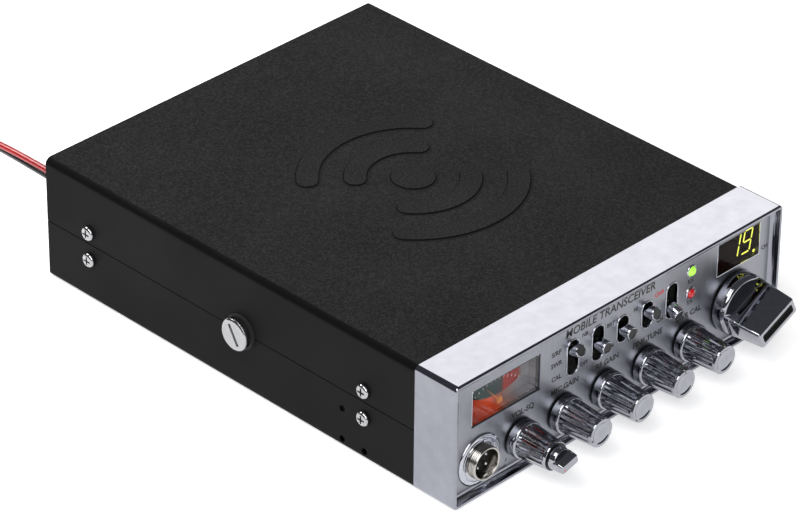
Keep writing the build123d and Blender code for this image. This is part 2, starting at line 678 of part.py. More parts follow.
# ---- Loudspeaker jacks
with BuildPart() as speaker_jacks:
    for x in jack_xs:
        turned(x, rear_z, (
            (jack_radius, case_rear + 2.6), (jack_thread, case_rear + 2.6), (jack_thread, case_rear + 2.0),
            (4.6, case_rear + 2.0), (4.6, case_rear), (jack_thread, case_rear), (jack_thread, rear_inner),
            (5.0, rear_inner), (5.0, rear_inner - 12.0), (jack_radius, rear_inner - 12.0)))
speaker_jacks.part.label = "speaker_jacks"
export_step(speaker_jacks.part, "parts/speaker_jacks.step")

# ---- Main board and what stands on it
board_top = board_low + board_thickness
board_front, board_back = case_front + 4.0, rear_inner - 14.0
with BuildPart() as main_board:
    with BuildSketch(Plane.XY.offset(board_low)):
        with Locations((0, (board_front + board_back) / 2)):
            Rectangle(172.0, board_back - board_front)
    extrude(amount=board_thickness)
main_board.part.label = "main_board"
export_step(main_board.part, "parts/main_board.step")

with BuildPart() as tuning_cans:
    with BuildSketch(Plane.XY.offset(board_top)):
        with Locations((-40.0, 10.0)):
            with GridLocations(18.0, 22.0, 4, 4):
                Rectangle(10.0, 10.0)
    extrude(amount=13.0)
    with BuildSketch(Plane.XY.offset(board_top + 13.0)):
        with Locations((-40.0, 10.0)):
            with GridLocations(18.0, 22.0, 4, 4):
                Circle(1.8)
    extrude(amount=-5.0, mode=Mode.SUBTRACT)
tuning_cans.part.label = "tuning_cans"
export_step(tuning_cans.part, "parts/tuning_cans.step")

with BuildPart() as capacitors:
    for row_y, radius, height in ((-55.0, 4.0, 12.0), (-38.0, 3.2, 11.0), (60.0, 6.5, 18.0)):
        with BuildSketch(Plane.XY.offset(board_top)):
            with Locations((40.0, row_y)):
                with GridLocations(18.0, 0, 5, 1):
                    Circle(radius)
        extrude(amount=height)
capacitors.part.label = "capacitors"
export_step(capacitors.part, "parts/capacitors.step")

with BuildPart() as audio_transformer:
    with BuildSketch(Plane.XY.offset(board_top)):
        with Locations((60.0, 20.0)):
            Rectangle(30.0, 14.0)
    extrude(amount=21.0)
    with BuildSketch(Plane.XY.offset(board_top + 3.0)):
        with Locations((60.0, 20.0)):
            RectangleRounded(21.0, 27.0, 4.0)
    extrude(amount=14.5)
audio_transformer.part.label = "audio_transformer"
export_step(audio_transformer.part, "parts/audio_transformer.step")

# ---- Loudspeaker over the grille: pressed frame with its magnet, paper cone
with BuildPart() as speaker_frame:
    with BuildSketch(Plane(origin=(0, speaker_y, 0), x_dir=(1, 0, 0), z_dir=(0, -1, 0))):
        with BuildLine():
            Polyline((33.0, sheet), (speaker_radius, sheet), (speaker_radius, sheet + 1.2),
                     (34.0, sheet + 1.2), (19.0, 16.0), (21.0, 16.0), (21.0, 25.5), (0, 25.5), (0, 15.0),
                     (18.0, 15.0), (33.0, 1.9), close=True)
        make_face()
    revolve(axis=Axis((0, speaker_y, 0), (0, 0, 1)))
speaker_frame.part.label = "speaker_frame"
export_step(speaker_frame.part, "parts/speaker_frame.step")

with BuildPart() as speaker_cone:
    with BuildSketch(Plane(origin=(0, speaker_y, 0), x_dir=(1, 0, 0), z_dir=(0, -1, 0))):
        with BuildLine():
            Polyline((32.5, sheet), (32.5, sheet + 0.6), (31.0, sheet + 0.6), (12.0, 12.0), (12.0, 15.0),
                     (0, 15.0), (0, 10.0), (8.0, 8.5), (11.0, 10.8), (28.5, sheet), close=True)
        make_face()
    revolve(axis=Axis((0, speaker_y, 0), (0, 0, 1)))
speaker_cone.part.label = "speaker_cone"
export_step(speaker_cone.part, "parts/speaker_cone.step")

# ---- Power lead: strain relief, lead down to the floor, coil, plug
cord_radius = cord_width / 2
relief_end = case_rear + relief_length
with BuildPart() as cord_strain_relief:
    turned(lead_x, lead_z, (
        (0, rear_inner - 3.0), (6.0, rear_inner - 3.0), (6.0, rear_inner), (4.6, rear_inner),
        (4.6, case_rear), (6.4, case_rear), (6.4, case_rear + 2.6), (5.0, case_rear + 3.2),
        (cord_radius + 0.5, relief_end), (0, relief_end)))
cord_strain_relief.part.label = "cord_strain_relief"
export_step(cord_strain_relief.part, "parts/cord_strain_relief.step")

coil_outer_turn = coil_middle_radius + cord_width
coil_x, coil_y = -36.0, 274.0
lead_end_x = coil_x - coil_outer_turn
lead_route = (
    (lead_x, relief_end, lead_z),
    (lead_x - 0.4, 162.0, 29.0),
    (lead_x - 0.9, 186.0, 28.2),
    (lead_x - 1.6, 209.0, 20.6),
    (lead_x - 2.1, 232.0, 9.8),
    (lead_x - 2.4, 254.0, 3.6),
    (lead_end_x, coil_y, cord_radius),
)


def bend_radii(route):
    """Largest arc at each corner: 0.45 of the shorter run over the tangent of half the turn."""
    radii = []
    points = [Vector(*point) for point in route]
    for before, corner, after in zip(points, points[1:], points[2:]):
        arriving, leaving = corner - before, after - corner
        turn = arriving.get_angle(leaving)
        radii.append(0.45 * min(arriving.length, leaving.length) / tan(radians(turn / 2)))
    return radii


lead_radii = bend_radii(lead_route)
print("lead bend radii:", [round(radius) for radius in lead_radii])
with BuildPart() as power_lead:
    with BuildLine() as lead_path:
        FilletPolyline(*lead_route, radius=lead_radii)
    with BuildSketch(Plane(origin=lead_path.line @ 0, z_dir=lead_path.line % 0)):
        Circle(cord_radius)
    sweep()
power_lead.part.label = "power_lead"
export_step(power_lead.part, "parts/power_lead.step")
lead_length = sum(edge.length for edge in lead_path.line.edges())
print("lead length:", round(lead_length, 1))
print("volume ratio:", round(power_lead.part.volume / (lead_length * pi * cord_radius ** 2), 4))

coil_width = coil_turns_across * cord_width
coil_height = coil_layers * cord_thickness
with BuildPart() as power_lead_coil:
    with BuildSketch(Plane(origin=(coil_x, coil_y, 0), x_dir=(1, 0, 0), z_dir=(0, -1, 0))):
        with Locations((coil_middle_radius, coil_height / 2)):
            RectangleRounded(coil_width, coil_height, cord_thickness / 2)
    revolve(axis=Axis((coil_x, coil_y, 0), (0, 0, 1)))
power_lead_coil.part.label = "power_lead_coil"
export_step(power_lead_coil.part, "parts/power_lead_coil.step")

plug_length, plug_width, plug_height = 24.0, 12.0, 9.0
plug_y = coil_y - coil_middle_radius
plug_z = coil_height + plug_height / 2
with BuildPart() as power_plug:
    with BuildSketch(Plane.XY.offset(coil_height)):
        with Locations((coil_x, plug_y)):
            Rectangle(plug_length, plug_width)
    extrude(amount=plug_height)
    fillet(power_plug.edges().filter_by(Axis.Z), radius=1.5)
    plug_end = Plane(origin=(coil_x - plug_length / 2, plug_y, plug_z), x_dir=(0, 1, 0), z_dir=(-1, 0, 0))
    with BuildSketch(plug_end):
        with GridLocations(5.4, 0, 2, 1):
            Circle(1.6)
    extrude(amount=-8.0, mode=Mode.SUBTRACT)
power_plug.part.label = "power_plug"
export_step(power_plug.part, "parts/power_plug.step")
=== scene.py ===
"""Looks of a mobile transceiver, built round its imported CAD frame.

Meshes are drawn in millimetres in the frame's own axes (+X right, +Y back, +Z up, front panel facing -Y)
and scaled to metres when a piece is finished. Places and sizes of CAD nodes are read from the frame.
"""

import sys
import logging
import math
from collections.abc import Iterable, Sequence
from dataclasses import dataclass
from enum import Enum
from typing import ClassVar

import bmesh
import bpy
from mathutils import Matrix, Vector


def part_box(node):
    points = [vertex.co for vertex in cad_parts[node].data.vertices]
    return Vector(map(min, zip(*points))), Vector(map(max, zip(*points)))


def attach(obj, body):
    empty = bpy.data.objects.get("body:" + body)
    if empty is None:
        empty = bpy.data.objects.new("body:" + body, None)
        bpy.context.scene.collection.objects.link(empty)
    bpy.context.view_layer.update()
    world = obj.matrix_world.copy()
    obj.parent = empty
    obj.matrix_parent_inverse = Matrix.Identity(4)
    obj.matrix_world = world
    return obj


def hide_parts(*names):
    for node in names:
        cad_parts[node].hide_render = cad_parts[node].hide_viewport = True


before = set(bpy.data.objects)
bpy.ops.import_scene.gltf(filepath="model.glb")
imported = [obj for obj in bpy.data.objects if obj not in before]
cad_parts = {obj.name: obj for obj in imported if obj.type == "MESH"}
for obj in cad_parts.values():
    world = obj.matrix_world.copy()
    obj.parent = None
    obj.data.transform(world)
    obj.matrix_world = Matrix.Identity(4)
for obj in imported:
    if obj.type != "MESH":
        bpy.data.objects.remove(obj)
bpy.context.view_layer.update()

MM = 0.001
Point = tuple[float, float, float]
Flat = tuple[float, float]
Colour = tuple[float, float, float]
log = logging.getLogger("transceiver")


class Body(str, Enum):
    """Bodies of the CAD model that pieces ride on."""

    CASING = "casing"
    VOLUME = "volume_control"
    SQUELCH = "squelch_control"
    CHANNEL = "channel_control"
    LEFT_THUMB = "left_thumb_screw"
    RIGHT_THUMB = "right_thumb_screw"


# ---------------------------------------------------------------- shader graphs


class Graph:
    """A material's node tree with short calls to add and join nodes."""

    def __init__(self, material: bpy.types.Material) -> None:
        """Clears the material's tree and gives it a shader and an output."""
        material.use_nodes = True
        self.tree = material.node_tree
        self.tree.nodes.clear()
        self.shader = self.add("ShaderNodeBsdfPrincipled")
        output = self.add("ShaderNodeOutputMaterial")
        self.join(self.shader, "BSDF", output, "Surface")

    def add(self, kind: str, settings: dict | None = None, **values: object) -> bpy.types.Node:
        """Adds a node.

        Args:
            kind: the node's type name.
            settings: input sockets by name and what to set them to.
            values: the node's own properties.

        Returns:
            The new node.
        """
        node = self.tree.nodes.new(kind)
        for name, value in values.items():
            setattr(node, name, value)
        for name, value in (settings or {}).items():
            node.inputs[name].default_value = value
        return node

    def join(self, source: bpy.types.Node, output: str | int, target: bpy.types.Node,
             socket: str | int) -> None:
        """Joins one node's output to another's input."""
        self.tree.links.new(source.outputs[output], target.inputs[socket])

    def feed(self, source: bpy.types.Node, output: str | int, socket: str) -> None:
        """Joins a node's output to the shader."""
        self.join(source, output, self.shader, socket)

    def place(self, scale: Point = (1, 1, 1), shift: Point = (0, 0, 0),
              turn: Point = (0, 0, 0)) -> bpy.types.Node:
        """Object coordinates, scaled, moved and turned by a Mapping node."""
        where = self.add("ShaderNodeTexCoord")
        mapping = self.add("ShaderNodeMapping", {"Scale": scale, "Location": shift, "Rotation": turn})
        self.join(where, "Object", mapping, "Vector")
        return mapping

    def noise(self, scale: float, detail: float = 3, rough: float = 0.5,
              stretch: Point = (1, 1, 1)) -> bpy.types.Node:
        """Noise on Object coordinates; its scale is in features per metre."""
        node = self.add("ShaderNodeTexNoise", {"Scale": scale, "Detail": detail, "Roughness": rough})
        self.join(self.place(stretch), 0, node, "Vector")
        return node

    def ramp(self, source: bpy.types.Node, output: str | int,
             stops: Sequence[tuple[float, Colour]]) -> bpy.types.Node:
        """Colour ramp over a value, with stops of (place, colour)."""
        node = self.add("ShaderNodeValToRGB")
        while len(node.color_ramp.elements) < len(stops):
            node.color_ramp.elements.new(0.5)
        for element, (place, colour) in zip(node.color_ramp.elements, stops):
            element.position = place
            element.color = (*colour, 1)
        self.join(source, output, node, "Fac")
        return node

    def between(self, source: bpy.types.Node, output: str | int, low: float, high: float,
                start: float = 0.3, stop: float = 0.7) -> bpy.types.Node:
        """Maps start..stop of a value onto low..high."""
        node = self.add("ShaderNodeMapRange",
                        {"From Min": start, "From Max": stop, "To Min": low, "To Max": high})
        self.join(source, output, node, "Value")
        return node

    def maths(self, operation: str, first: object, second: object = 0.0) -> bpy.types.Node:
        """A Math node; each operand is a number or a node, whose first output is used."""
        node = self.add("ShaderNodeMath", operation=operation)
        for index, operand in enumerate((first, second)):
            if isinstance(operand, bpy.types.Node):
                self.join(operand, 0, node, index)
            else:
                node.inputs[index].default_value = operand
        return node

    def bump(self, source: bpy.types.Node, output: str | int, depth: float,
             before: bpy.types.Node | None = None,
             ) -> bpy.types.Node:
        """Bump from a value, its depth in millimetres, over an earlier bump if there is one."""
        node = self.add("ShaderNodeBump", {"Strength": 1.0, "Distance": depth * MM})
        self.join(source, output, node, "Height")
        if before is not None:
            self.join(before, "Normal", node, "Normal")
        self.feed(node, "Normal", "Normal")
        return node

    def tint(self, source: bpy.types.Node, output: str | int, first: Colour, second: Colour,
             start: float = 0.3, stop: float = 0.7) -> None:
        """Runs the base colour from one colour to another over a value."""
        self.feed(self.ramp(source, output, ((start, first), (stop, second))), "Color", "Base Color")


def shade(colour: Colour, factor: float) -> Colour:
    """A colour made lighter or darker."""
    return tuple(min(1.0, part * factor) for part in colour)


@dataclass(frozen=True)
class Finish:
    """A surface finish that makes one Blender material and keeps it.

    Attributes:
        name: the material's name.
        colour: base colour, linear.
        rough: roughness.
    """

    name: str
    colour: Colour
    rough: float
    made: ClassVar[dict[str, bpy.types.Material]] = {}

    def material(self) -> bpy.types.Material:
        """The finish's material, made on first use."""
        if self.name not in self.made:
            material = bpy.data.materials.new(self.name)
            graph = Graph(material)
            self.set(graph, Roughness=self.rough)
            graph.shader.inputs["Base Color"].default_value = (*self.colour, 1)
            self.dress(graph)
            self.made[self.name] = material
        return self.made[self.name]

    @staticmethod
    def set(graph: Graph, **values: object) -> None:
        """Sets the shader's sockets; an underscore stands for a space in a socket's name."""
        for name, value in values.items():
            graph.shader.inputs[name.replace("_", " ")].default_value = value

    def dress(self, graph: Graph) -> None:
        """Adds the finish's own nodes."""
        raise NotImplementedError


SATIN_BLACK = (0.0098, 0.0098, 0.01)
# Colour of the bends between top and sides: painted shade, darker than the satin black.
PAINTED_BEND_SHADE = (0.0015, 0.0015, 0.0016)


@dataclass(frozen=True)
class TexturedPaint(Finish):
    """Black paint: fine wrinkle, pale grains facing up as a painted highlight, satin elsewhere, painted shade
    on bends.

    Attributes:
        grain: grains per metre.
        depth: height of the wrinkle in millimetres.
        painted_grain_highlight: how much lighter the grains' tops are.
        sheen: strength of its reflections.
    """

    grain: float = 2600.0
    depth: float = 0.05
    painted_grain_highlight: float = 2.2
    sheen: float = 0.1

    def dress(self, graph: Graph) -> None:
        """Wrinkle from two noises, painted highlight on grain tops, painted shade on bends, slow changes of
        gloss.
        """
        fine = graph.noise(self.grain, 2.5, 0.62)
        coarse = graph.noise(self.grain * 0.33, 2, 0.5)
        facing = graph.add("ShaderNodeSeparateXYZ")
        graph.join(graph.add("ShaderNodeTexCoord"), "Normal", facing, 0)
        level = graph.between(facing, "Z", 0.0, 1.0, 0.93, 0.99)
        # The grains' tops are painted lighter than their hollows: a painted highlight.
        grains = graph.ramp(fine, "Fac",
                            ((0.42, shade(self.colour, 0.72)), (0.72, shade(self.colour, self.painted_grain_highlight))))
        # The bends, faces that lean up without being flat, are painted darker: painted shade.
        smooth = graph.ramp(facing, "Z", ((0.08, SATIN_BLACK), (0.25, PAINTED_BEND_SHADE)))
        mix = graph.add("ShaderNodeMix", data_type="RGBA")
        graph.join(level, 0, mix, 0)
        graph.join(smooth, "Color", mix, 6)
        graph.join(grains, "Color", mix, 7)
        graph.feed(mix, 2, "Base Color")
        first = graph.bump(graph.maths("MULTIPLY", coarse, level), 0, self.depth)
        graph.bump(graph.maths("MULTIPLY", fine, level), 0, self.depth, first)
        graph.feed(graph.between(graph.noise(22, 3), "Fac", self.rough - 0.05, self.rough + 0.07), 0,
                   "Roughness")
        self.set(graph, Specular_IOR_Level=self.sheen)


@dataclass(frozen=True)
class Metal(Finish):
    """Plated or turned metal, from mirror chrome to brushed steel.

    Attributes:
        brush: stretch of the grain along X, Y and Z; a small number is the direction of the strokes.
        grain: strokes per metre.
        depth: depth of the strokes in millimetres.
        wear: change of roughness over the surface.
    """

    brush: Point = (1, 1, 1)
    grain: float = 900.0
    depth: float = 0.0
    wear: float = 0.03

    def dress(self, graph: Graph) -> None:
        """Strokes or faint haze in the gloss, and a slow change of tone."""
        self.set(graph, Metallic=1.0)
        strokes = graph.noise(self.grain, 4, 0.6, self.brush)
        graph.tint(strokes, "Fac", shade(self.colour, 0.93), shade(self.colour, 1.05))
        graph.feed(graph.between(strokes, "Fac", max(0.015, self.rough - self.wear), self.rough + self.wear),
                   0, "Roughness")
        if self.depth:
            graph.bump(strokes, "Fac", self.depth)


@dataclass(frozen=True)
class Moulded(Finish):
    """Moulded plastic or rubber with a fine skin.

    Attributes:
        grain: marks per metre in the skin.
        depth: depth of the skin's texture in millimetres.
        coat: weight of a glossy top layer.
    """

    grain: float = 1800.0
    depth: float = 0.02
    coat: float = 0.0

    def dress(self, graph: Graph) -> None:
        """Skin texture, flow marks in the tone, uneven gloss."""
        skin = graph.noise(self.grain, 3, 0.55)
        flow = graph.noise(60, 2, 0.5)
        graph.tint(flow, "Fac", shade(self.colour, 0.88), shade(self.colour, 1.14))
        graph.bump(skin, "Fac", self.depth)
        graph.feed(graph.between(skin, "Fac", self.rough - 0.05, self.rough + 0.06), 0, "Roughness")
        if self.coat:
            self.set(graph, Coat_Weight=self.coat, Coat_Roughness=0.05)


@dataclass(frozen=True)
class Lit(Finish):
    """A lamp's or a segment's lit plastic.

    Attributes:
        glow: strength of its light.
    """

    glow: float = 1.0

    def dress(self, graph: Graph) -> None:
        """Light that is uneven like moulded diffusing plastic."""
        cloud = graph.noise(500, 2)
        light = graph.ramp(cloud, "Fac", ((0.3, shade(self.colour, 0.8)), (0.7, self.colour)))
        graph.feed(light, "Color", "Emission Color")
        graph.feed(light, "Color", "Base Color")
        self.set(graph, Emission_Strength=self.glow, Coat_Weight=0.6, Coat_Roughness=0.06)


@dataclass(frozen=True)
class Clear(Finish):
    """Clear or smoked window plastic.

    Attributes:
        alpha: how much of the surface's own colour shows.
        clear: how much light goes through, bent as by thick plastic.
        ior: index of refraction.
    """

    alpha: float = 0.12
    clear: float = 0.0
    ior: float = 1.49

    def dress(self, graph: Graph) -> None:
        """Faint moulding ripples and a hard gloss."""
        ripple = graph.noise(90, 2)
        graph.tint(ripple, "Fac", shade(self.colour, 0.95), self.colour)
        graph.bump(ripple, "Fac", 0.01)
        self.set(graph, Alpha=self.alpha, IOR=self.ior, Transmission_Weight=self.clear,
                 Specular_IOR_Level=0.15)


@dataclass(frozen=True)
class Ink(Finish):
    """Screen-printed ink, slightly uneven."""

    def dress(self, graph: Graph) -> None:
        """Pinholes and mottling of printed ink."""
        mottle = graph.noise(5000, 2)
        graph.tint(mottle, "Fac", shade(self.colour, 0.8), shade(self.colour, 1.25))
        graph.bump(mottle, "Fac", 0.004)


@dataclass(frozen=True)
class Laminate(Finish):
    """Printed circuit board: solder mask over copper tracks.

    Attributes:
        track: colour of a track under the mask.
    """

    track: Colour = (0.2, 0.36, 0.12)

    def dress(self, graph: Graph) -> None:
        """Blocky tracks under a glossy mask."""
        cells = graph.add("ShaderNodeTexBrick", {
            "Scale": 60.0, "Color1": (*self.colour, 1), "Color2": (*shade(self.colour, 1.2), 1),
            "Mortar": (*self.track, 1), "Mortar Size": 0.03, "Brick Width": 0.9, "Row Height": 0.35})
        graph.join(graph.place(), 0, cells, "Vector")
        graph.feed(cells, "Color", "Base Color")
        graph.bump(cells, "Fac", 0.03)
        self.set(graph, Coat_Weight=0.4)


@dataclass(frozen=True)
class DialPrint(Finish):
    """Back-lit meter dial: orange field, dark green scale band, red end of the scale, grey painted lens glare
    at the right.

    Attributes:
        low: lower left corner of the dial, X and Z in millimetres.
        size: width and height in millimetres.
    """

    low: Flat = (0.0, 0.0)
    size: Flat = (1.0, 1.0)

    def dress(self, graph: Graph) -> None:
        """Bands by the place on the dial, each with a printed edge."""
        where = graph.place((1 / (self.size[0] * MM), 1, 1 / (self.size[1] * MM)),
                            (-self.low[0] / self.size[0], 0, -self.low[1] / self.size[1]))
        split = graph.add("ShaderNodeSeparateXYZ")
        graph.join(where, 0, split, 0)
        along = graph.maths("MULTIPLY", split, 1.0)
        up = graph.add("ShaderNodeMath", operation="MULTIPLY")
        graph.join(split, "Z", up, 0)
        up.inputs[1].default_value = 1.0
        sag = graph.maths("POWER", graph.maths("ABSOLUTE", graph.maths("SUBTRACT", along, 0.52)), 2.0)
        edge = graph.maths("ADD", graph.maths("MULTIPLY", sag, 1.5), 0.28)
        height = graph.maths("SUBTRACT", up, edge)
        # Both ramps end in grey toward the right of the dial: a painted reflection of glare on the lens.
        field_colour = graph.ramp(along, 0, ((0.1, (0.3, 0.03, 0.01)), (0.4, (0.56, 0.08, 0.028)),
                                             (0.58, (0.2, 0.08, 0.055)), (0.78, (0.2, 0.19, 0.2))))
        band_colour = graph.ramp(along, 0, ((0.15, (0.004, 0.034, 0.026)), (0.5, (0.014, 0.03, 0.034)),
                                            (0.57, (0.03, 0.02, 0.02)), (0.6, (0.3, 0.012, 0.008)),
                                            (0.8, (0.22, 0.015, 0.01)), (0.86, (0.16, 0.15, 0.16))))
        mix = graph.add("ShaderNodeMix", data_type="RGBA")
        step = graph.between(height, 0, 0.0, 1.0, -0.008, 0.008)
        graph.join(step, 0, mix, 0)
        graph.join(field_colour, "Color", mix, 6)
        graph.join(band_colour, "Color", mix, 7)
        graph.feed(mix, 2, "Base Color")
        graph.feed(mix, 2, "Emission Color")
        graph.bump(graph.noise(900), "Fac", 0.002)
        self.set(graph, Emission_Strength=0.3, Specular_IOR_Level=0.1)


SHEET_BLACK = (0.0118, 0.0118, 0.0122)
CHROME_TINT = (0.5, 0.51, 0.56)


class Finishes:
    """Every finish of the transceiver."""

    TOP = TexturedPaint("textured_black_paint", SHEET_BLACK, 0.64, 1300.0, 0.09, 3.0, 0.08)
    SIDE = TexturedPaint("satin_black_paint", (0.0065, 0.0065, 0.0067), 0.55, 1500.0, 0.012, 1.25, 0.06)
    # Painted shade in the crease round the lid's raised sign.
    CREASE = Moulded("crease_black", (0.0015, 0.0015, 0.0015), 0.9, 900.0, 0.01)
    CHROME = Metal("bezel_chrome", (0.295, 0.3, 0.34), 0.07, grain=160.0, wear=0.02)
    BRIGHT = Metal("bright_chrome", CHROME_TINT, 0.045, grain=500.0, wear=0.02)
    KNOB = Metal("knob_chrome", (0.37, 0.375, 0.41), 0.05, grain=400.0, wear=0.02)
    PANEL = Metal("satin_panel", (0.3, 0.307, 0.337), 0.33, (1, 1, 0.3), 500.0, 0.0, 0.03)
    NICKEL = Metal("nickel_plate", (0.47, 0.45, 0.42), 0.16, (1, 0.2, 1), 700.0, 0.002, 0.06)
    SCREW = Metal("bright_zinc", (0.44, 0.44, 0.45), 0.15, grain=900.0, depth=0.004, wear=0.07)
    ZINC = Metal("zinc_plate", (0.6, 0.6, 0.55), 0.34, grain=300.0, depth=0.004, wear=0.08)
    TURNED = Metal("turned_steel", (0.52, 0.52, 0.53), 0.28, (1, 0.1, 1), 1100.0, 0.004, 0.06)
    TIN = Metal("tinned_can", (0.66, 0.66, 0.64), 0.3, (1, 1, 0.2), 600.0, 0.004, 0.07)
    BRASS = Metal("contact_brass", (0.78, 0.58, 0.26), 0.22, (1, 0.2, 1), 900.0, 0.003, 0.05)
    LENS = Clear("clear_lens", (0.97, 0.99, 1.0), 0.02, 1.0, 1.0, 1.2)
    SMOKE = Clear("smoked_window", (0.012, 0.004, 0.003), 0.1, 0.5)
    BACKING = Moulded("display_backing", (0.014, 0.006, 0.005), 0.5)
    WHITE = Moulded("white_plastic", (0.72, 0.72, 0.68), 0.5)
    BLACK = Moulded("black_plastic", (0.012, 0.012, 0.012), 0.42, 2200.0, 0.03)
    SHADOW = Moulded("slot_black", (0.006, 0.006, 0.006), 0.75)
    RUBBER = Moulded("black_rubber", (0.012, 0.012, 0.012), 0.62, 1500.0, 0.03)
    RED_VINYL = Moulded("red_vinyl", (0.4, 0.006, 0.008), 0.3, 900.0, 0.015, 0.5)
    BLACK_VINYL = Moulded("black_vinyl", (0.008, 0.008, 0.009), 0.3, 900.0, 0.015, 0.5)
    SLEEVE = Moulded("capacitor_sleeve", (0.012, 0.03, 0.1), 0.3, 700.0, 0.01, 0.5)
    CORE = Moulded("lacquered_laminations", (0.05, 0.04, 0.03), 0.45, 2400.0, 0.08)
    PAPER = Moulded("cone_paper", (0.03, 0.027, 0.024), 0.85, 1200.0, 0.15)
    FRAME_PAINT = Moulded("speaker_paint", (0.03, 0.03, 0.032), 0.45, 900.0, 0.02)
    BOARD = Laminate("board_laminate", (0.09, 0.2, 0.06), 0.4)
    INK = Ink("legend_ink", (0.012, 0.012, 0.014), 0.55)
    RED_INK = Ink("red_ink", (0.7, 0.03, 0.03), 0.5)
    ORANGE = Ink("needle_orange", (0.9, 0.28, 0.03), 0.45)
    GREEN_LAMP = Lit("green_lamp", (0.38, 0.8, 0.06), 0.25, 0.9)
    RED_LAMP = Lit("red_lamp", (0.62, 0.015, 0.02), 0.2, 0.15)
    SEGMENT = Lit("lit_segment", (0.86, 0.9, 0.1), 0.3, 2.6)


# ---------------------------------------------------------------- meshes


@dataclass(frozen=True)
class Place:
    """Where a CAD node is, in millimetres."""

    low: Vector
    high: Vector

    @classmethod
    def of(cls, node: str) -> "Place":
        """The place of a CAD node, read from the frame."""
        low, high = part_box(node)
        return cls(low / MM, high / MM)

    @property
    def middle(self) -> Vector:
        """Centre of the node's box."""
        return (self.low + self.high) / 2

    @property
    def size(self) -> Vector:
        """Lengths of the node's box."""
        return self.high - self.low


def fillet_outline(points: Sequence[Flat], radii: float | Sequence[float], steps: int = 4,
                   closed: bool = True) -> list[Flat]:
    """Rounds the corners of a flat outline.

    Args:
        points: the outline's corners.
        radii: one radius for all corners, or one for each; 0 leaves a corner sharp.
        steps: segments in each round.
        closed: whether the outline closes; the ends of an open one stay as they are.

    Returns:
        The rounded outline's points.
    """
    count = len(points)
    sizes = [radii] * count if isinstance(radii, (int, float)) else list(radii)
    result: list[Flat] = []
    for index, (corner, radius) in enumerate(zip(points, sizes)):
        here = Vector(corner)
        if radius <= 0 or (not closed and index in (0, count - 1)):
            result.append((here.x, here.y))
            continue
        before = Vector(points[index - 1]) - here
        after = Vector(points[(index + 1) % count]) - here
        half = before.angle(after) / 2
        if half > math.pi / 2 - 0.01:
            result.append((here.x, here.y))
            continue
        cut = min(radius / math.tan(half), 0.49 * before.length, 0.49 * after.length)
        radius = cut * math.tan(half)
        centre = here + (before.normalized() + after.normalized()).normalized() * (radius / math.sin(half))
        start = here + before.normalized() * cut - centre
        stop = here + after.normalized() * cut - centre
        sweep = math.atan2(start.x * stop.y - start.y * stop.x, start.dot(stop))
        for step in range(steps + 1):
            turn = Matrix.Rotation(sweep * step / steps, 2)
            point = centre + turn @ start
            result.append((point.x, point.y))
    return result


def round_rectangle(width: float, height: float, radius: float, steps: int = 4) -> list[Flat]:
    """Rounded rectangle about the origin, anticlockwise."""
    x, y = width / 2, height / 2
    return fillet_outline([(-x, -y), (x, -y), (x, y), (-x, y)], max(radius, 0.01), steps)


def stadium(length: float, width: float, steps: int = 10) -> list[Flat]:
    """Upright slot outline with round ends."""
    return round_rectangle(width, length, width / 2 - 0.001, steps)


def turned_flat(outline: Iterable[Flat], degrees: float, centre: Flat = (0.0, 0.0)) -> list[Flat]:
    """Turns an outline about the origin, then moves it to a centre."""
    angle = math.radians(degrees)
    cosine, sine = math.cos(angle), math.sin(angle)
    return [(centre[0] + x * cosine - y * sine, centre[1] + x * sine + y * cosine) for x, y in outline]


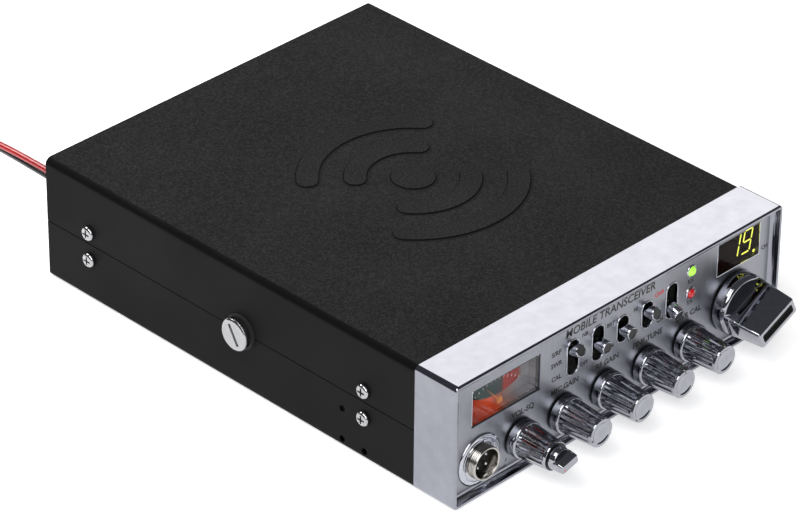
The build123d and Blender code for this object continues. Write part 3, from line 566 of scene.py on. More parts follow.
class Solid:
    """A mesh being drawn in millimetres."""

    def __init__(self, name: str) -> None:
        """Starts an empty mesh for a piece of that name."""
        self.name = name
        self.mesh = bmesh.new()

    def loop(self, points: Iterable[Point]) -> list[bmesh.types.BMVert]:
        """Adds a row of vertices."""
        return [self.mesh.verts.new(point) for point in points]

    def face(self, corners: Sequence[bmesh.types.BMVert], slot: int = 0) -> None:
        """Adds a face."""
        made = self.mesh.faces.new(corners)
        made.material_index = slot

    def band(self, first: Sequence[bmesh.types.BMVert], second: Sequence[bmesh.types.BMVert], slot: int = 0,
             closed: bool = True) -> None:
        """Joins two rows of the same length with quads."""
        count = len(first)
        for index in range(count if closed else count - 1):
            other = (index + 1) % count
            self.face((first[index], first[other], second[other], second[index]), slot)

    def loft(self, rows: Sequence[Sequence[Point]], cap_first: bool = True, cap_last: bool = True,
             slots: Sequence[int] | None = None) -> None:
        """Skins a stack of closed rows.

        Args:
            rows: closed rows with the same number of points.
            cap_first: whether to fill the first row.
            cap_last: whether to fill the last row.
            slots: material index of each band, the first cap's band first.
        """
        made = [self.loop(row) for row in rows]
        for index, (lower, upper) in enumerate(zip(made, made[1:])):
            self.band(lower, upper, slots[index] if slots else 0)
        if cap_first:
            self.face(list(reversed(made[0])), slots[0] if slots else 0)
        if cap_last:
            self.face(made[-1], slots[-1] if slots else 0)

    def ring(self, rows: Sequence[Sequence[Point]], second_material_bands: Sequence[int] = ()) -> None:
        """Skins a stack of closed rows whose last row joins its first, like a tyre.

        Args:
            rows: closed rows with the same number of points.
            second_material_bands: indices of the bands that get the second material.
        """
        made = [self.loop(row) for row in rows]
        for index, (lower, upper) in enumerate(zip(made, made[1:] + made[:1])):
            self.band(lower, upper, int(index in second_material_bands))

    def lathe(self, profile: Sequence[Flat], centre: Point, along: Point, steps: int = 64,
              ring: bool = False, slots: Sequence[int] | None = None) -> None:
        """Turns a profile of (radius, distance along) points.

        Args:
            profile: the profile; radius 0 at an end closes it there.
            centre: point on the axis where the distance is 0.
            along: the axis's direction.
            steps: segments round the axis.
            ring: whether the profile is a closed outline off the axis.
            slots: material index of each band.
        """
        axis = Vector(along).normalized()
        side = axis.orthogonal().normalized()
        other = axis.cross(side)
        rows: list[list[bmesh.types.BMVert]] = []
        for radius, distance in profile:
            middle = Vector(centre) + axis * distance
            if radius < 1e-6:
                rows.append([self.mesh.verts.new(middle)])
                continue
            rows.append([self.mesh.verts.new(middle + (side * math.cos(turn) + other * math.sin(turn))
                                             * radius)
                         for turn in (2 * math.pi * step / steps for step in range(steps))])
        pairs = list(zip(rows, rows[1:] + rows[:1])) if ring else list(zip(rows, rows[1:]))
        for index, (lower, upper) in enumerate(pairs):
            slot = slots[index] if slots else 0
            if len(lower) == 1 and len(upper) == 1:
                continue
            if len(lower) == 1 or len(upper) == 1:
                point, row = (lower[0], upper) if len(lower) == 1 else (upper[0], lower)
                for step in range(steps):
                    self.face((point, row[step], row[(step + 1) % steps]), slot)
                continue
            self.band(lower, upper, slot)

    def prism(self, outline: Sequence[Flat], front: float, back: float, slot: int = 0) -> None:
        """Solid between two stations along Y from an X-Z outline."""
        rows = [[(x, y, z) for x, z in outline] for y in (front, back)]
        self.loft(rows, slots=[slot])

    def finish(self, body: Body | str, finishes: Finish | Sequence[Finish], node: str | Sequence[str] = (),
               slot: str | None = None, bevel: float = 0.0, sharp: float = 32.0,
               segments: int = 2) -> bpy.types.Object:
        """Closes the mesh, scales it to metres and makes it a piece.

        Args:
            body: CAD body that it rides on.
            finishes: material or materials, by index.
            node: CAD node or nodes that it stands for.
            slot: the record's material slot; not used.
            bevel: width in millimetres of a bevel on its sharp edges; 0 for none.
            sharp: angle in degrees from which an edge stays sharp.
            segments: segments of the bevel.

        Returns:
            The piece.
        """
        bmesh.ops.remove_doubles(self.mesh, verts=self.mesh.verts, dist=1e-4)
        bmesh.ops.recalc_face_normals(self.mesh, faces=self.mesh.faces)
        data = bpy.data.meshes.new(self.name)
        self.mesh.to_mesh(data)
        self.mesh.free()
        return finish_mesh(self.name, data, body, finishes, node, bevel, sharp, segments)


def finish_mesh(name: str, data: bpy.types.Mesh, body: Body | str, finishes: Finish | Sequence[Finish],
                node: str | Sequence[str] = (), bevel: float = 0.0,
                sharp: float = 32.0, segments: int = 2) -> bpy.types.Object:
    """Scales a mesh from millimetres and makes it a piece; the arguments are those of Solid.finish."""
    data.transform(Matrix.Scale(MM, 4))
    chosen = [finishes] if isinstance(finishes, Finish) else list(finishes)
    slots = [0] * len(data.polygons)
    data.polygons.foreach_get("material_index", slots)
    data.materials.clear()
    for finish in chosen:
        data.materials.append(finish.material())
    data.polygons.foreach_set("material_index", [min(index, len(chosen) - 1) for index in slots])
    data.shade_smooth()
    data.set_sharp_from_angle(angle=math.radians(sharp))
    piece = bpy.data.objects.new(name, data)
    bpy.context.scene.collection.objects.link(piece)
    if bevel:
        rounding = piece.modifiers.new("edge_round", "BEVEL")
        rounding.width = bevel * MM
        rounding.segments = segments
        rounding.limit_method = "ANGLE"
        rounding.angle_limit = math.radians(sharp)
        rounding.harden_normals = True
        rounding.miter_outer = "MITER_ARC"
    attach(piece, body.value if isinstance(body, Body) else body)
    nodes = [node] if isinstance(node, str) else list(node)
    if nodes:
        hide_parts(*nodes)
    log.info("%s: %d faces", name, len(data.polygons))
    return piece


# ---------------------------------------------------------------- Geometry Nodes


class NodeTool:
    """A Geometry Nodes tree with named inputs, built once and used on carrier objects."""

    def __init__(self, name: str, inputs: dict[str, tuple[str, object]]) -> None:
        """Makes the tree.

        Args:
            name: the tree's name.
            inputs: input names with their socket type and default.
        """
        self.tree = bpy.data.node_groups.new(name, "GeometryNodeTree")
        face = self.tree.interface
        face.new_socket("Geometry", in_out="INPUT", socket_type="NodeSocketGeometry")
        self.names: dict[str, str] = {}
        for label, (kind, default) in inputs.items():
            socket = face.new_socket(label, in_out="INPUT", socket_type=kind)
            if default is not None:
                socket.default_value = default
            self.names[label] = socket.identifier
        face.new_socket("Geometry", in_out="OUTPUT", socket_type="NodeSocketGeometry")
        self.source = self.tree.nodes.new("NodeGroupInput")
        self.result = self.tree.nodes.new("NodeGroupOutput")

    def add(self, kind: str, links: dict[str | int, object] | None = None,
            **values: object) -> bpy.types.Node:
        """Adds a node.

        Args:
            kind: the node's type name.
            links: for each input, an output socket to join or a plain value.
            values: the node's own properties.

        Returns:
            The new node.
        """
        node = self.tree.nodes.new(kind)
        for name, value in values.items():
            setattr(node, name, value)
        for key, value in (links or {}).items():
            if isinstance(value, bpy.types.NodeSocket):
                self.tree.links.new(value, node.inputs[key])
            else:
                node.inputs[key].default_value = value
        return node

    def given(self, label: str) -> bpy.types.NodeSocket:
        """The output socket of a named input."""
        return self.source.outputs[label]

    def maths(self, operation: str, first: object, second: object = 0.0) -> bpy.types.NodeSocket:
        """Result of a Math node on sockets or numbers."""
        return self.add("ShaderNodeMath", {0: first, 1: second}, operation=operation).outputs[0]

    def close(self, geometry: bpy.types.NodeSocket, material: bpy.types.NodeSocket) -> None:
        """Ends the tree in Realize Instances and Set Material."""
        real = self.add("GeometryNodeRealizeInstances", {"Geometry": geometry})
        dressed = self.add("GeometryNodeSetMaterial", {"Geometry": real.outputs[0], "Material": material})
        self.tree.links.new(dressed.outputs[0], self.result.inputs[0])

    def bake(self, name: str, values: dict[str, object],
             carrier: bpy.types.Mesh | None = None) -> bpy.types.Mesh:
        """Runs the tree once and returns its result as a plain mesh.

        Args:
            name: name of the mesh.
            values: named inputs to set.
            carrier: mesh that goes in as Geometry; an empty one if left out.

        Returns:
            The baked mesh.
        """
        holder = bpy.data.objects.new(name, carrier or bpy.data.meshes.new(name))
        bpy.context.scene.collection.objects.link(holder)
        modifier = holder.modifiers.new(name, "NODES")
        modifier.node_group = self.tree
        for label, value in values.items():
            modifier[self.names[label]] = value
        holder.update_tag()
        graph = bpy.context.evaluated_depsgraph_get()
        baked = bpy.data.meshes.new_from_object(holder.evaluated_get(graph))
        baked.name = name
        holder.modifiers.clear()
        bpy.data.objects.remove(holder)
        return baked


def make_ring_tool() -> NodeTool:
    """Tree that stands copies of a block round an arc: knurls, ribs, grip lines and scale ticks."""
    tool = NodeTool("ring_of_blocks", {
        "Count": ("NodeSocketInt", 12), "Radius": ("NodeSocketFloat", 5.0),
        "First Angle": ("NodeSocketFloat", 0.0), "Sweep": ("NodeSocketFloat", 6.2832),
        "Block": ("NodeSocketVector", (1.0, 1.0, 1.0)), "Material": ("NodeSocketMaterial", None)})
    line = tool.add("GeometryNodeMeshLine", {"Count": tool.given("Count")})
    index = tool.add("GeometryNodeInputIndex").outputs[0]
    share = tool.maths("DIVIDE", index,
                       tool.maths("MAXIMUM", tool.maths("SUBTRACT", tool.given("Count"), 1.0), 1.0))
    angle = tool.maths("ADD", tool.maths("MULTIPLY", share, tool.given("Sweep")), tool.given("First Angle"))
    spot = tool.add("ShaderNodeCombineXYZ", {
        0: tool.maths("MULTIPLY", tool.maths("COSINE", angle), tool.given("Radius")),
        1: tool.maths("MULTIPLY", tool.maths("SINE", angle), tool.given("Radius"))})
    moved = tool.add("GeometryNodeSetPosition", {"Geometry": line.outputs[0], "Position": spot.outputs[0]})
    block = tool.add("GeometryNodeMeshCube", {"Size": tool.given("Block")})
    facing = tool.add("ShaderNodeCombineXYZ", {2: angle})
    copies = tool.add("GeometryNodeInstanceOnPoints", {
        "Points": moved.outputs[0], "Instance": block.outputs[0], "Rotation": facing.outputs[0]})
    tool.close(copies.outputs[0], tool.given("Material"))
    return tool


def make_copy_tool() -> NodeTool:
    """Tree that puts a copy of one mesh on each vertex, its Z axis along the vertex's 'facing'."""
    tool = NodeTool("copies_on_points", {
        "Pattern": ("NodeSocketObject", None), "Material": ("NodeSocketMaterial", None)})
    pattern = tool.add("GeometryNodeObjectInfo", {"Object": tool.given("Pattern")})
    facing = tool.add("GeometryNodeInputNamedAttribute", {"Name": "facing"}, data_type="FLOAT_VECTOR")
    turn = tool.add("FunctionNodeAlignEulerToVector", {"Vector": facing.outputs[0]}, axis="Z")
    copies = tool.add("GeometryNodeInstanceOnPoints", {
        "Points": tool.given("Geometry"), "Instance": pattern.outputs["Geometry"],
        "Rotation": turn.outputs[0]})
    tool.close(copies.outputs[0], tool.given("Material"))
    return tool


def make_barrel_tool() -> NodeTool:
    """Tree that makes a tapered knob barrel with flutes along it, standing on Z from 0 to its length."""
    tool = NodeTool("fluted_barrel", {
        "Flutes": ("NodeSocketInt", 14), "Root Radius": ("NodeSocketFloat", 7.2),
        "Tip Radius": ("NodeSocketFloat", 6.1), "Length": ("NodeSocketFloat", 16.0),
        "Flute Depth": ("NodeSocketFloat", 0.8), "Steps Round": ("NodeSocketInt", 224),
        "Material": ("NodeSocketMaterial", None)})
    tube = tool.add("GeometryNodeMeshCylinder", {
        "Vertices": tool.given("Steps Round"), "Side Segments": 14, "Radius": 1.0, "Depth": 1.0})
    place = tool.add("GeometryNodeInputPosition").outputs[0]
    split = tool.add("ShaderNodeSeparateXYZ", {0: place}).outputs
    angle = tool.maths("ARCTAN2", split[1], split[0])
    height = tool.maths("ADD", split[2], 0.5)
    wave = tool.maths("COSINE", tool.maths("MULTIPLY", angle, tool.given("Flutes")))
    hollow = tool.maths("MAXIMUM", tool.maths("DIVIDE", tool.maths("ADD", wave, 0.45), 1.45), 0.0)
    fade = tool.maths("MULTIPLY", tool.maths("MINIMUM", tool.maths("MULTIPLY", height, 7.0), 1.0),
                      tool.maths("MINIMUM",
                                 tool.maths("MULTIPLY", tool.maths("SUBTRACT", 1.02, height), 14.0), 1.0))
    taper = tool.maths("ADD", tool.given("Root Radius"), tool.maths(
        "MULTIPLY", height, tool.maths("SUBTRACT", tool.given("Tip Radius"), tool.given("Root Radius"))))
    cut = tool.maths("MULTIPLY", tool.maths("MULTIPLY", hollow, fade), tool.given("Flute Depth"))
    radius = tool.maths("SUBTRACT", taper, cut)
    reach = tool.maths("POWER", tool.maths("ADD", tool.maths("MULTIPLY", split[0], split[0]),
                                           tool.maths("MULTIPLY", split[1], split[1])), 0.5)
    grow = tool.maths("MULTIPLY", radius, reach)
    moved = tool.add("ShaderNodeCombineXYZ", {
        0: tool.maths("MULTIPLY", tool.maths("COSINE", angle), grow),
        1: tool.maths("MULTIPLY", tool.maths("SINE", angle), grow),
        2: tool.maths("MULTIPLY", height, tool.given("Length"))})
    shaped = tool.add("GeometryNodeSetPosition", {"Geometry": tube.outputs[0], "Position": moved.outputs[0]})
    tool.close(shaped.outputs[0], tool.given("Material"))
    return tool


class Tools:
    """The Geometry Nodes trees, made once."""

    RING = make_ring_tool()
    COPIES = make_copy_tool()
    BARREL = make_barrel_tool()


FACE_FRONT = Matrix.Rotation(math.radians(90), 4, "X")


def stand_on_front(mesh: bpy.types.Mesh, x: float, y: float, z: float, turn: float = 0.0) -> bpy.types.Mesh:
    """Turns a mesh whose Z axis points out of the panel so that it faces the front at x, y, z."""
    mesh.transform(Matrix.Translation((x, y, z)) @ FACE_FRONT @ Matrix.Rotation(math.radians(turn), 4, "Z"))
    return mesh


def merge(first: Solid, mesh: bpy.types.Mesh, slot: int = 0) -> None:
    """Adds a plain mesh in millimetres to a solid that is being drawn."""
    before = len(first.mesh.faces)
    first.mesh.from_mesh(mesh)
    first.mesh.faces.ensure_lookup_table()
    for face in first.mesh.faces[before:]:
        face.material_index = slot
    bpy.data.meshes.remove(mesh)


# ---------------------------------------------------------------- studio and power lead


@dataclass
class Studio:
    """Pale floor, soft lights and the camera; places in millimetres."""

    azimuth: float = -45.459
    elevation: float = 32.639
    distance: float = 1803.05
    target: Point = (28.911, 39.304, -9.499)
    roll: float = 0.606
    lens: float = 197.25

    def camera(self) -> None:
        """Places the camera and makes it the scene's."""
        turn, tilt, roll = (math.radians(value) for value in (self.azimuth, self.elevation, self.roll))
        back = Vector((math.sin(turn) * math.cos(tilt), -math.cos(turn) * math.cos(tilt), math.sin(tilt)))
        right = (-back).cross(Vector((0, 0, 1))).normalized()
        up = right.cross(-back)
        across = right * math.cos(roll) + up * math.sin(roll)
        upright = up * math.cos(roll) - right * math.sin(roll)
        data = bpy.data.cameras.new("camera")
        data.lens, data.sensor_width = self.lens, 36.0
        data.clip_start, data.clip_end = 0.05, 50.0
        camera = bpy.data.objects.new("camera", data)
        bpy.context.scene.collection.objects.link(camera)
        frame_matrix = Matrix((across, upright, back)).transposed().to_4x4()
        frame_matrix.translation = (Vector(self.target) + back * self.distance) * MM
        camera.matrix_world = frame_matrix
        bpy.context.scene.camera = camera

    def softbox(self, name: str, place: Point, aim: Point, size: Flat, power: float,
                tint: Colour = (1, 1, 1)) -> None:
        """Adds a rectangular area light.

        Args:
            name: the light's name.
            place: its centre in millimetres.
            aim: the point it faces.
            size: width and height in millimetres.
            power: watts.
            tint: its colour.
        """
        data = bpy.data.lights.new(name, "AREA")
        data.shape = "RECTANGLE"
        data.size, data.size_y = size[0] * MM, size[1] * MM
        data.energy = power
        data.color = tint
        light = bpy.data.objects.new(name, data)
        light.location = Vector(place) * MM
        light.rotation_mode = "QUATERNION"
        light.rotation_quaternion = (Vector(aim) - Vector(place)).to_track_quat("-Z", "Y")
        light.visible_camera = False
        bpy.context.scene.collection.objects.link(light)

    def room(self) -> None:
        """Grey room, four softboxes and a pale floor."""
        world = bpy.data.worlds.new("room")
        world.use_nodes = True
        world.node_tree.nodes["Background"].inputs["Color"].default_value = (0.9, 0.93, 1.0, 1)
        world.node_tree.nodes["Background"].inputs["Strength"].default_value = 0.1
        bpy.context.scene.world = world
        self.softbox("overhead", (-800, -150, 1250), (0, 0, 0), (700, 700), 6.6)
        self.softbox("bezel_light", (819, 622, 761), (0, -99, 55), (760, 760), 4.6, (1, 0.98, 0.94))
        self.softbox("rear_top", (-150, 430, 420), (-20, 90, 55), (220, 220), 1.5)
        self.softbox("front_left", (-730, -930, 860), (0, -110, 20), (900, 1000), 9.2)
        data = bpy.data.meshes.new("floor")
        drawing = bmesh.new()
        bmesh.ops.create_grid(drawing, x_segments=4, y_segments=4, size=6.0)
        drawing.to_mesh(data)
        drawing.free()
        data.transform(Matrix.Translation((0, 0, -0.0003)))
        data.materials.append(FLOOR.material())
        floor = bpy.data.objects.new("floor", data)
        bpy.context.scene.collection.objects.link(floor)
        view = bpy.context.scene.view_settings
        view.view_transform = "Standard"
        view.look = "None"


@dataclass(frozen=True)
class FloorPaper(Finish):
    """Matt white paper."""

    def dress(self, graph: Graph) -> None:
        """Faint paper tooth and a low glow that keeps it pale."""
        graph.tint(graph.noise(300), "Fac", shade(self.colour, 0.99), self.colour)
        self.set(graph, Specular_IOR_Level=0.1, Emission_Color=(1, 1, 1, 1), Emission_Strength=0.52)


FLOOR = FloorPaper("white_paper", (0.93, 0.93, 0.93), 0.9)


@dataclass
class PowerLead:
    """Bonded red and black pair from the strain relief to a coil on the floor, with its plug on the coil."""

    width: float = 5.6
    wire: float = 2.8
    coil: Flat = (-36.0, 274.0)
    middle: float = 30.8
    turn_points: int = 16
    rise: Sequence[Point] = ((-70.0, 137.35, 28.0), (-70.4, 162.0, 29.0), (-70.9, 186.0, 28.2),
                             (-71.6, 209.0, 20.6), (-72.1, 232.0, 9.8), (-72.5, 252.0, 3.4))

    def turns(self) -> list[Point]:
        """Points of the coil's turns: in on the floor, out on top of them, and up to the plug."""
        outer, inner = self.middle + self.width, self.middle - self.width
        stretch = 1 / 0.981
        track = ((0.0, outer, 1.4), (1.0, self.middle, 1.4), (2.0, inner, 1.4), (2.45, inner + 0.1, 1.45),
                 (2.95, inner, 4.2), (3.0, inner, 4.25), (4.0, self.middle, 4.25), (5.0, outer, 4.25),
                 (5.25, outer - 1.6, 6.9), (5.4, self.middle + 1.5, 7.2), (5.55, self.middle, 8.4))
        points: list[Point] = []
        steps = int(5.56 * self.turn_points)
        for step in range(1, steps + 1):
            at = step / self.turn_points
            (t0, r0, z0), (t1, r1, z1) = next(
                (a, b) for a, b in zip(track, track[1:]) if at <= b[0] or b is track[-1])
            share = min(1.0, (at - t0) / (t1 - t0))
            radius = (r0 + (r1 - r0) * share) * stretch
            wander = 0.28 * math.sin(at * 7.1) + 0.2 * math.sin(at * 17.3 + 1)
            angle = math.pi - at * 2 * math.pi
            points.append((self.coil[0] + (radius + wander * (0 < at < 5)) * math.cos(angle),
                           self.coil[1] + (radius + wander * (0 < at < 5)) * math.sin(angle),
                           z0 + (z1 - z0) * share))
        return points

    def spline(self) -> list[Vector]:
        """The lead's middle line in millimetres, read from its NURBS spline."""
        start = [(self.coil[0] - self.middle - self.width, self.coil[1] - 3.0, 1.5)]
        end = [(-15.5, 246.4, 9.6), (-20.0, 243.8, 10.1), (-24.6, 243.2, 10.1)]
        points = [*self.rise, *start, *self.turns(), *end]
        data = bpy.data.curves.new("lead_line", "CURVE")
        data.dimensions = "3D"
        data.resolution_u = 8
        line = data.splines.new("NURBS")
        line.points.add(len(points) - 1)
        for control, point in zip(line.points, points):
            control.co = (*point, 1)
        line.order_u = 3
        line.use_endpoint_u = True
        holder = bpy.data.objects.new("lead_line", data)
        bpy.context.scene.collection.objects.link(holder)
        graph = bpy.context.evaluated_depsgraph_get()
        mesh = bpy.data.meshes.new_from_object(holder.evaluated_get(graph))
        path = [vertex.co.copy() for vertex in mesh.vertices]
        bpy.data.meshes.remove(mesh)
        bpy.data.objects.remove(holder)
        return path

    def build(self) -> None:
        path = self.spline()
        reach = [0.0]
        for first, second in zip(path, path[1:]):
            reach.append(reach[-1] + (second - first).length)
        lead = Solid("power_lead_pair")
        up = Vector((0, 0, 1))
        round_steps = 12
        rows: list[list[list[bmesh.types.BMVert]]] = [[], []]
        for index, point in enumerate(path):
            ahead = (path[min(index + 1, len(path) - 1)] - path[max(index - 1, 0)]).normalized()
            flat = ahead.cross(up).normalized()
            lift = flat.cross(ahead).normalized()
            share = min(1.0, reach[index] / 112.0)
            lean = math.radians(90) * share * share * (3 - 2 * share)
            apart = lift * math.cos(lean) - flat * math.sin(lean)
            for wire, sign in enumerate((1, -1)):
                centre = point + apart * (sign * self.wire * 0.49)
                row = []
                for step in range(round_steps):
                    turn = 2 * math.pi * step / round_steps
                    row.append(lead.mesh.verts.new(
                        centre + (apart * math.cos(turn) + ahead.cross(apart) * math.sin(turn))
                        * self.wire / 2))
                rows[wire].append(row)
        for wire, tube in enumerate(rows):
            for lower, upper in zip(tube, tube[1:]):
                lead.band(lower, upper, wire)
            lead.face(list(reversed(tube[0])), wire)
            lead.face(tube[-1], wire)
        pair = lead.finish(Body.CASING, [Finishes.RED_VINYL, Finishes.BLACK_VINYL],
                           ["power_lead", "power_lead_coil"], "lead_jacket")
        plug = self.plug()

    def plug(self) -> bpy.types.Object:
        """Two-pin nylon plug, open at its mating end."""
        place = Place.of("power_plug")
        middle, size = place.middle, place.size
        shell = Solid("power_plug_shell")
        outline = round_rectangle(size.y, size.z, 1.4)
        stations = ((0.0, 1.0), (0.02, 1.0), (0.62, 1.0), (0.66, 0.86), (0.94, 0.8), (1.0, 0.72))
        rows = [[(place.low.x + size.x * share, middle.y + y * grow,
                  middle.z - size.z * (1 - grow) / 2 + z * grow)
                 for y, z in outline] for share, grow in stations]
        shell.loft(rows, cap_first=False)
        inner = round_rectangle(size.y - 2.2, size.z - 2.2, 0.9)
        depths = [[(place.low.x + depth, middle.y + y, middle.z + z) for y, z in inner]
                  for depth in (0.0, 8.0)]
        made = [shell.loop(row) for row in depths]
        shell.mesh.verts.ensure_lookup_table()
        rim = shell.mesh.verts[:len(outline)]
        shell.band(made[0], rim)
        shell.band(made[1], made[0])
        shell.face(made[1])
        for side in (-1, 1):
            shell.lathe(((0, 7.9), (1.15, 7.9), (1.15, 1.2), (0.8, 0.7), (0, 0.7)),
                        (place.low.x, middle.y + side * 2.7, middle.z), (1, 0, 0), 20, slots=[1, 1, 1, 1])
        return shell.finish(Body.CASING, [Finishes.WHITE, Finishes.BRASS], "power_plug", "white_plastic",
                            0.25)


# ---------------------------------------------------------------- case and front


@dataclass
class Case:
    """Sheet covers, chassis, fixing screws and thumb screws.

    Attributes:
        side: distance of the covers' sides from the middle.
        side_screw_depths: distances of the side screws behind the case's front.
        side_screw_heights: their heights.
        rear_screw_reach: distance of the rear screws from the middle.
        rear_screw_heights: their heights.
        sign_middle: middle of the lid's sign: x, and distance behind the case's front.
        sign_disc: radius of its disc.
        sign_arcs: radii of its arcs' middle lines.
        sign_arc_half: half of the width of its arcs.
        recess: reach of the cross recess in a screw's head.
        knurls: number of knurls round a thumb screw.
    """

    side: float = 92.0
    side_screw_depths: Flat = (26.8, 182.0)
    side_screw_heights: Flat = (31.5, 19.0)
    rear_screw_reach: float = 85.0
    rear_screw_heights: Flat = (18.0, 38.0)
    sign_middle: Flat = (3.0, 95.0)
    sign_disc: float = 9.0
    sign_arcs: Flat = (23.0, 42.0)
    sign_arc_half: float = 4.5
    recess: float = 1.9
    knurls: int = 56

    def dress_covers(self) -> None:
        """Paints the covers and the sheet-metal frame that the CAD model gives."""
        for node, finish in (("top_cover", Finishes.TOP), ("bottom_cover", Finishes.SIDE),
                             ("chassis_frame", Finishes.ZINC), ("rear_panel", Finishes.SIDE)):
            repaint(node, finish)

    def lid_sign(self) -> None:
        """Soft slopes round the raised disc and arcs of the lid, with a thin dark band of painted shade at
        their foot.
        """
        slopes = Solid("lid_sign_slopes")
        middle = (self.sign_middle[0], Place.of("top_cover").low.y + self.sign_middle[1])
        shapes = [(0.0, self.sign_disc, 0.0)]
        shapes += [(radius, self.sign_arc_half, facing) for radius in self.sign_arcs
                   for facing in (90.0, 270.0)]
        for radius, half, facing in shapes:
            rows = []
            for grow, height in ((1.25, 54.9), (1.25, 55.02), (1.15, 55.05), (0.4, 55.07), (0.0, 55.45),
                                 (-0.2, 55.48), (-0.45, 55.45), (-0.5, 54.9)):
                rows.append([(x, y, height) for x, y in self.arc_slot(radius, half + grow, facing, middle)])
            # Band 2, near the foot of the slopes, is the dark crease: painted shade.
            slopes.ring(rows, second_material_bands=(2,))
        slopes.finish(Body.CASING, [Finishes.TOP, Finishes.CREASE], slot="top_sheet", sharp=60)

    @staticmethod
    def arc_slot(radius: float, half: float, facing: float, middle: Flat) -> list[Flat]:
        """Outline of an arc with round ends, or of a disc.

        Args:
            radius: radius of the arc's middle line; 0 for a disc.
            half: half of its width.
            facing: direction of its middle, in degrees.
            middle: centre of the arc.

        Returns:
            The outline, anticlockwise.
        """
        if not radius:
            turns = [2 * math.pi * step / 64 for step in range(64)]
            return [(middle[0] + half * math.cos(turn), middle[1] + half * math.sin(turn)) for turn in turns]
        points: list[Flat] = []
        sweep = [math.radians(facing - 50 + 100 * step / 40) for step in range(41)]
        points += [((radius + half) * math.cos(turn), (radius + half) * math.sin(turn)) for turn in sweep]
        for end, start in ((sweep[-1], sweep[-1]), (sweep[0], sweep[0] + math.pi)):
            centre = (radius * math.cos(end), radius * math.sin(end))
            points += [(centre[0] + half * math.cos(start + math.pi * step / 12),
                        centre[1] + half * math.sin(start + math.pi * step / 12)) for step in range(1, 12)]
            if start == end:
                points += [((radius - half) * math.cos(turn), (radius - half) * math.sin(turn))
                           for turn in reversed(sweep)]
        return [(middle[0] + x, middle[1] + y) for x, y in points]

    def pan_head(self) -> bpy.types.Object:
        """One pan-head screw with a cross recess, along +Z from its seat, as the pattern of the copies."""
        screw = Solid("pan_head_pattern")
        steps = 32
        ring = [(math.cos(2 * math.pi * step / steps), math.sin(2 * math.pi * step / steps))
                for step in range(steps)]
        cross = self.cross_ring(steps)
        profile = ((3.1, 0.0), (3.15, 0.5), (3.0, 1.0), (2.6, 1.42), (2.1, 1.62))
        rows = [[(x * radius, y * radius, height) for x, y in ring] for radius, height in profile]
        rows.append([(x, y, 1.68) for x, y in cross])
        rows.append([(x * 0.72, y * 0.72, 0.5) for x, y in cross])
        screw.loft(rows)
        bmesh.ops.recalc_face_normals(screw.mesh, faces=screw.mesh.faces)
        data = bpy.data.meshes.new(screw.name)
        screw.mesh.to_mesh(data)
        screw.mesh.free()
        pattern = bpy.data.objects.new(screw.name, data)
        bpy.context.scene.collection.objects.link(pattern)
        return pattern

    def cross_ring(self, steps: int) -> list[Flat]:
        """Outline of the cross recess with its points at even angles.

        Args:
            steps: number of points.

        Returns:
            The points, anticlockwise from +X.
        """
        points: list[Flat] = []
        for step in range(steps):
            angle = 2 * math.pi * step / steps
            local = (angle + math.pi / 4) % (math.pi / 2) - math.pi / 4
            radius = min(self.recess, 0.42 / max(abs(math.sin(local)), 1e-3))
            radius = max(radius, 0.6)
            points.append((radius * math.cos(angle), radius * math.sin(angle)))
        return points

    def screws(self) -> None:
        """Screws on both sides and the back."""
        front = Place.of("top_cover").low.y
        rear = Place.of("rear_panel").high.y
        points: list[tuple[Point, Point]] = []
        for sign in (-1, 1):
            for depth in self.side_screw_depths:
                for height in self.side_screw_heights:
                    points.append(((sign * self.side, front + depth, height), (sign, 0, 0)))
            for height in self.rear_screw_heights:
                points.append(((sign * self.rear_screw_reach, rear, height), (0, 1, 0)))
        data = bpy.data.meshes.new("screw_points")
        data.from_pydata([point for point, _ in points], [], [])
        facing = data.attributes.new("facing", "FLOAT_VECTOR", "POINT")
        for entry, (_, direction) in zip(facing.data, points):
            entry.vector = direction
        pattern = self.pan_head()
        baked = Tools.COPIES.bake("case_screw_heads", {
            "Pattern": pattern, "Material": Finishes.SCREW.material()}, data)
        bpy.data.objects.remove(pattern)
        finish_mesh("case_screw_heads", baked, Body.CASING, Finishes.SCREW, "case_screws")

    def thumb_screw(self, node: str, body: Body, sign: int) -> None:
        """Slotted thumb screw with a knurled rim.

        Args:
            node: the CAD node.
            body: the body that turns.
            sign: -1 on the left, 1 on the right.
        """
        place = Place.of(node)
        y, z = place.middle.y, place.middle.z
        outer = abs(place.low.x if sign < 0 else place.high.x)
        centre = (sign * outer, y, z)
        head = Solid(node.replace("screw_", "screw_head_"))
        profile = ((0, -8.0), (2.35, -8.0), (2.35, -3.2), (6.5, -3.2), (6.8, -2.9), (6.8, -0.6),
                   (6.35, -0.12), (5.9, 0.0), (5.2, 0.0), (5.0, -0.12), (4.8, -0.12))
        head.lathe(profile, centre, (sign, 0, 0), 96)
        self.slotted_face(head, centre, sign, 4.8, 0.12)
        knurl = Tools.RING.bake("thumb_knurl", {
            "Count": self.knurls, "Radius": 6.74, "Sweep": 2 * math.pi * (1 - 1 / self.knurls),
            "Block": (0.5, 0.42, 2.1), "Material": Finishes.SCREW.material()})
        knurl.transform(Matrix.Translation((sign * (outer - 1.75), y, z))
                        @ Matrix.Rotation(math.radians(90), 4, "Y"))
        merge(head, knurl)
        head.finish(body, Finishes.SCREW, node, "screw_steel", 0.12)

    @staticmethod
    def slotted_face(head: Solid, centre: Point, sign: int, radius: float, drop: float) -> None:
        """Fills a turned head's face with two halves and a slot between them, at 60 degrees.

        Args:
            head: the solid to add to.
            centre: middle of the face.
            sign: direction of the face along X.
            radius: radius of the face.
            drop: how far the face lies under the rim.
        """
        half, depth, steps = 0.7, 1.2, 16
        lean = math.radians(60)
        start = math.asin(half / radius)

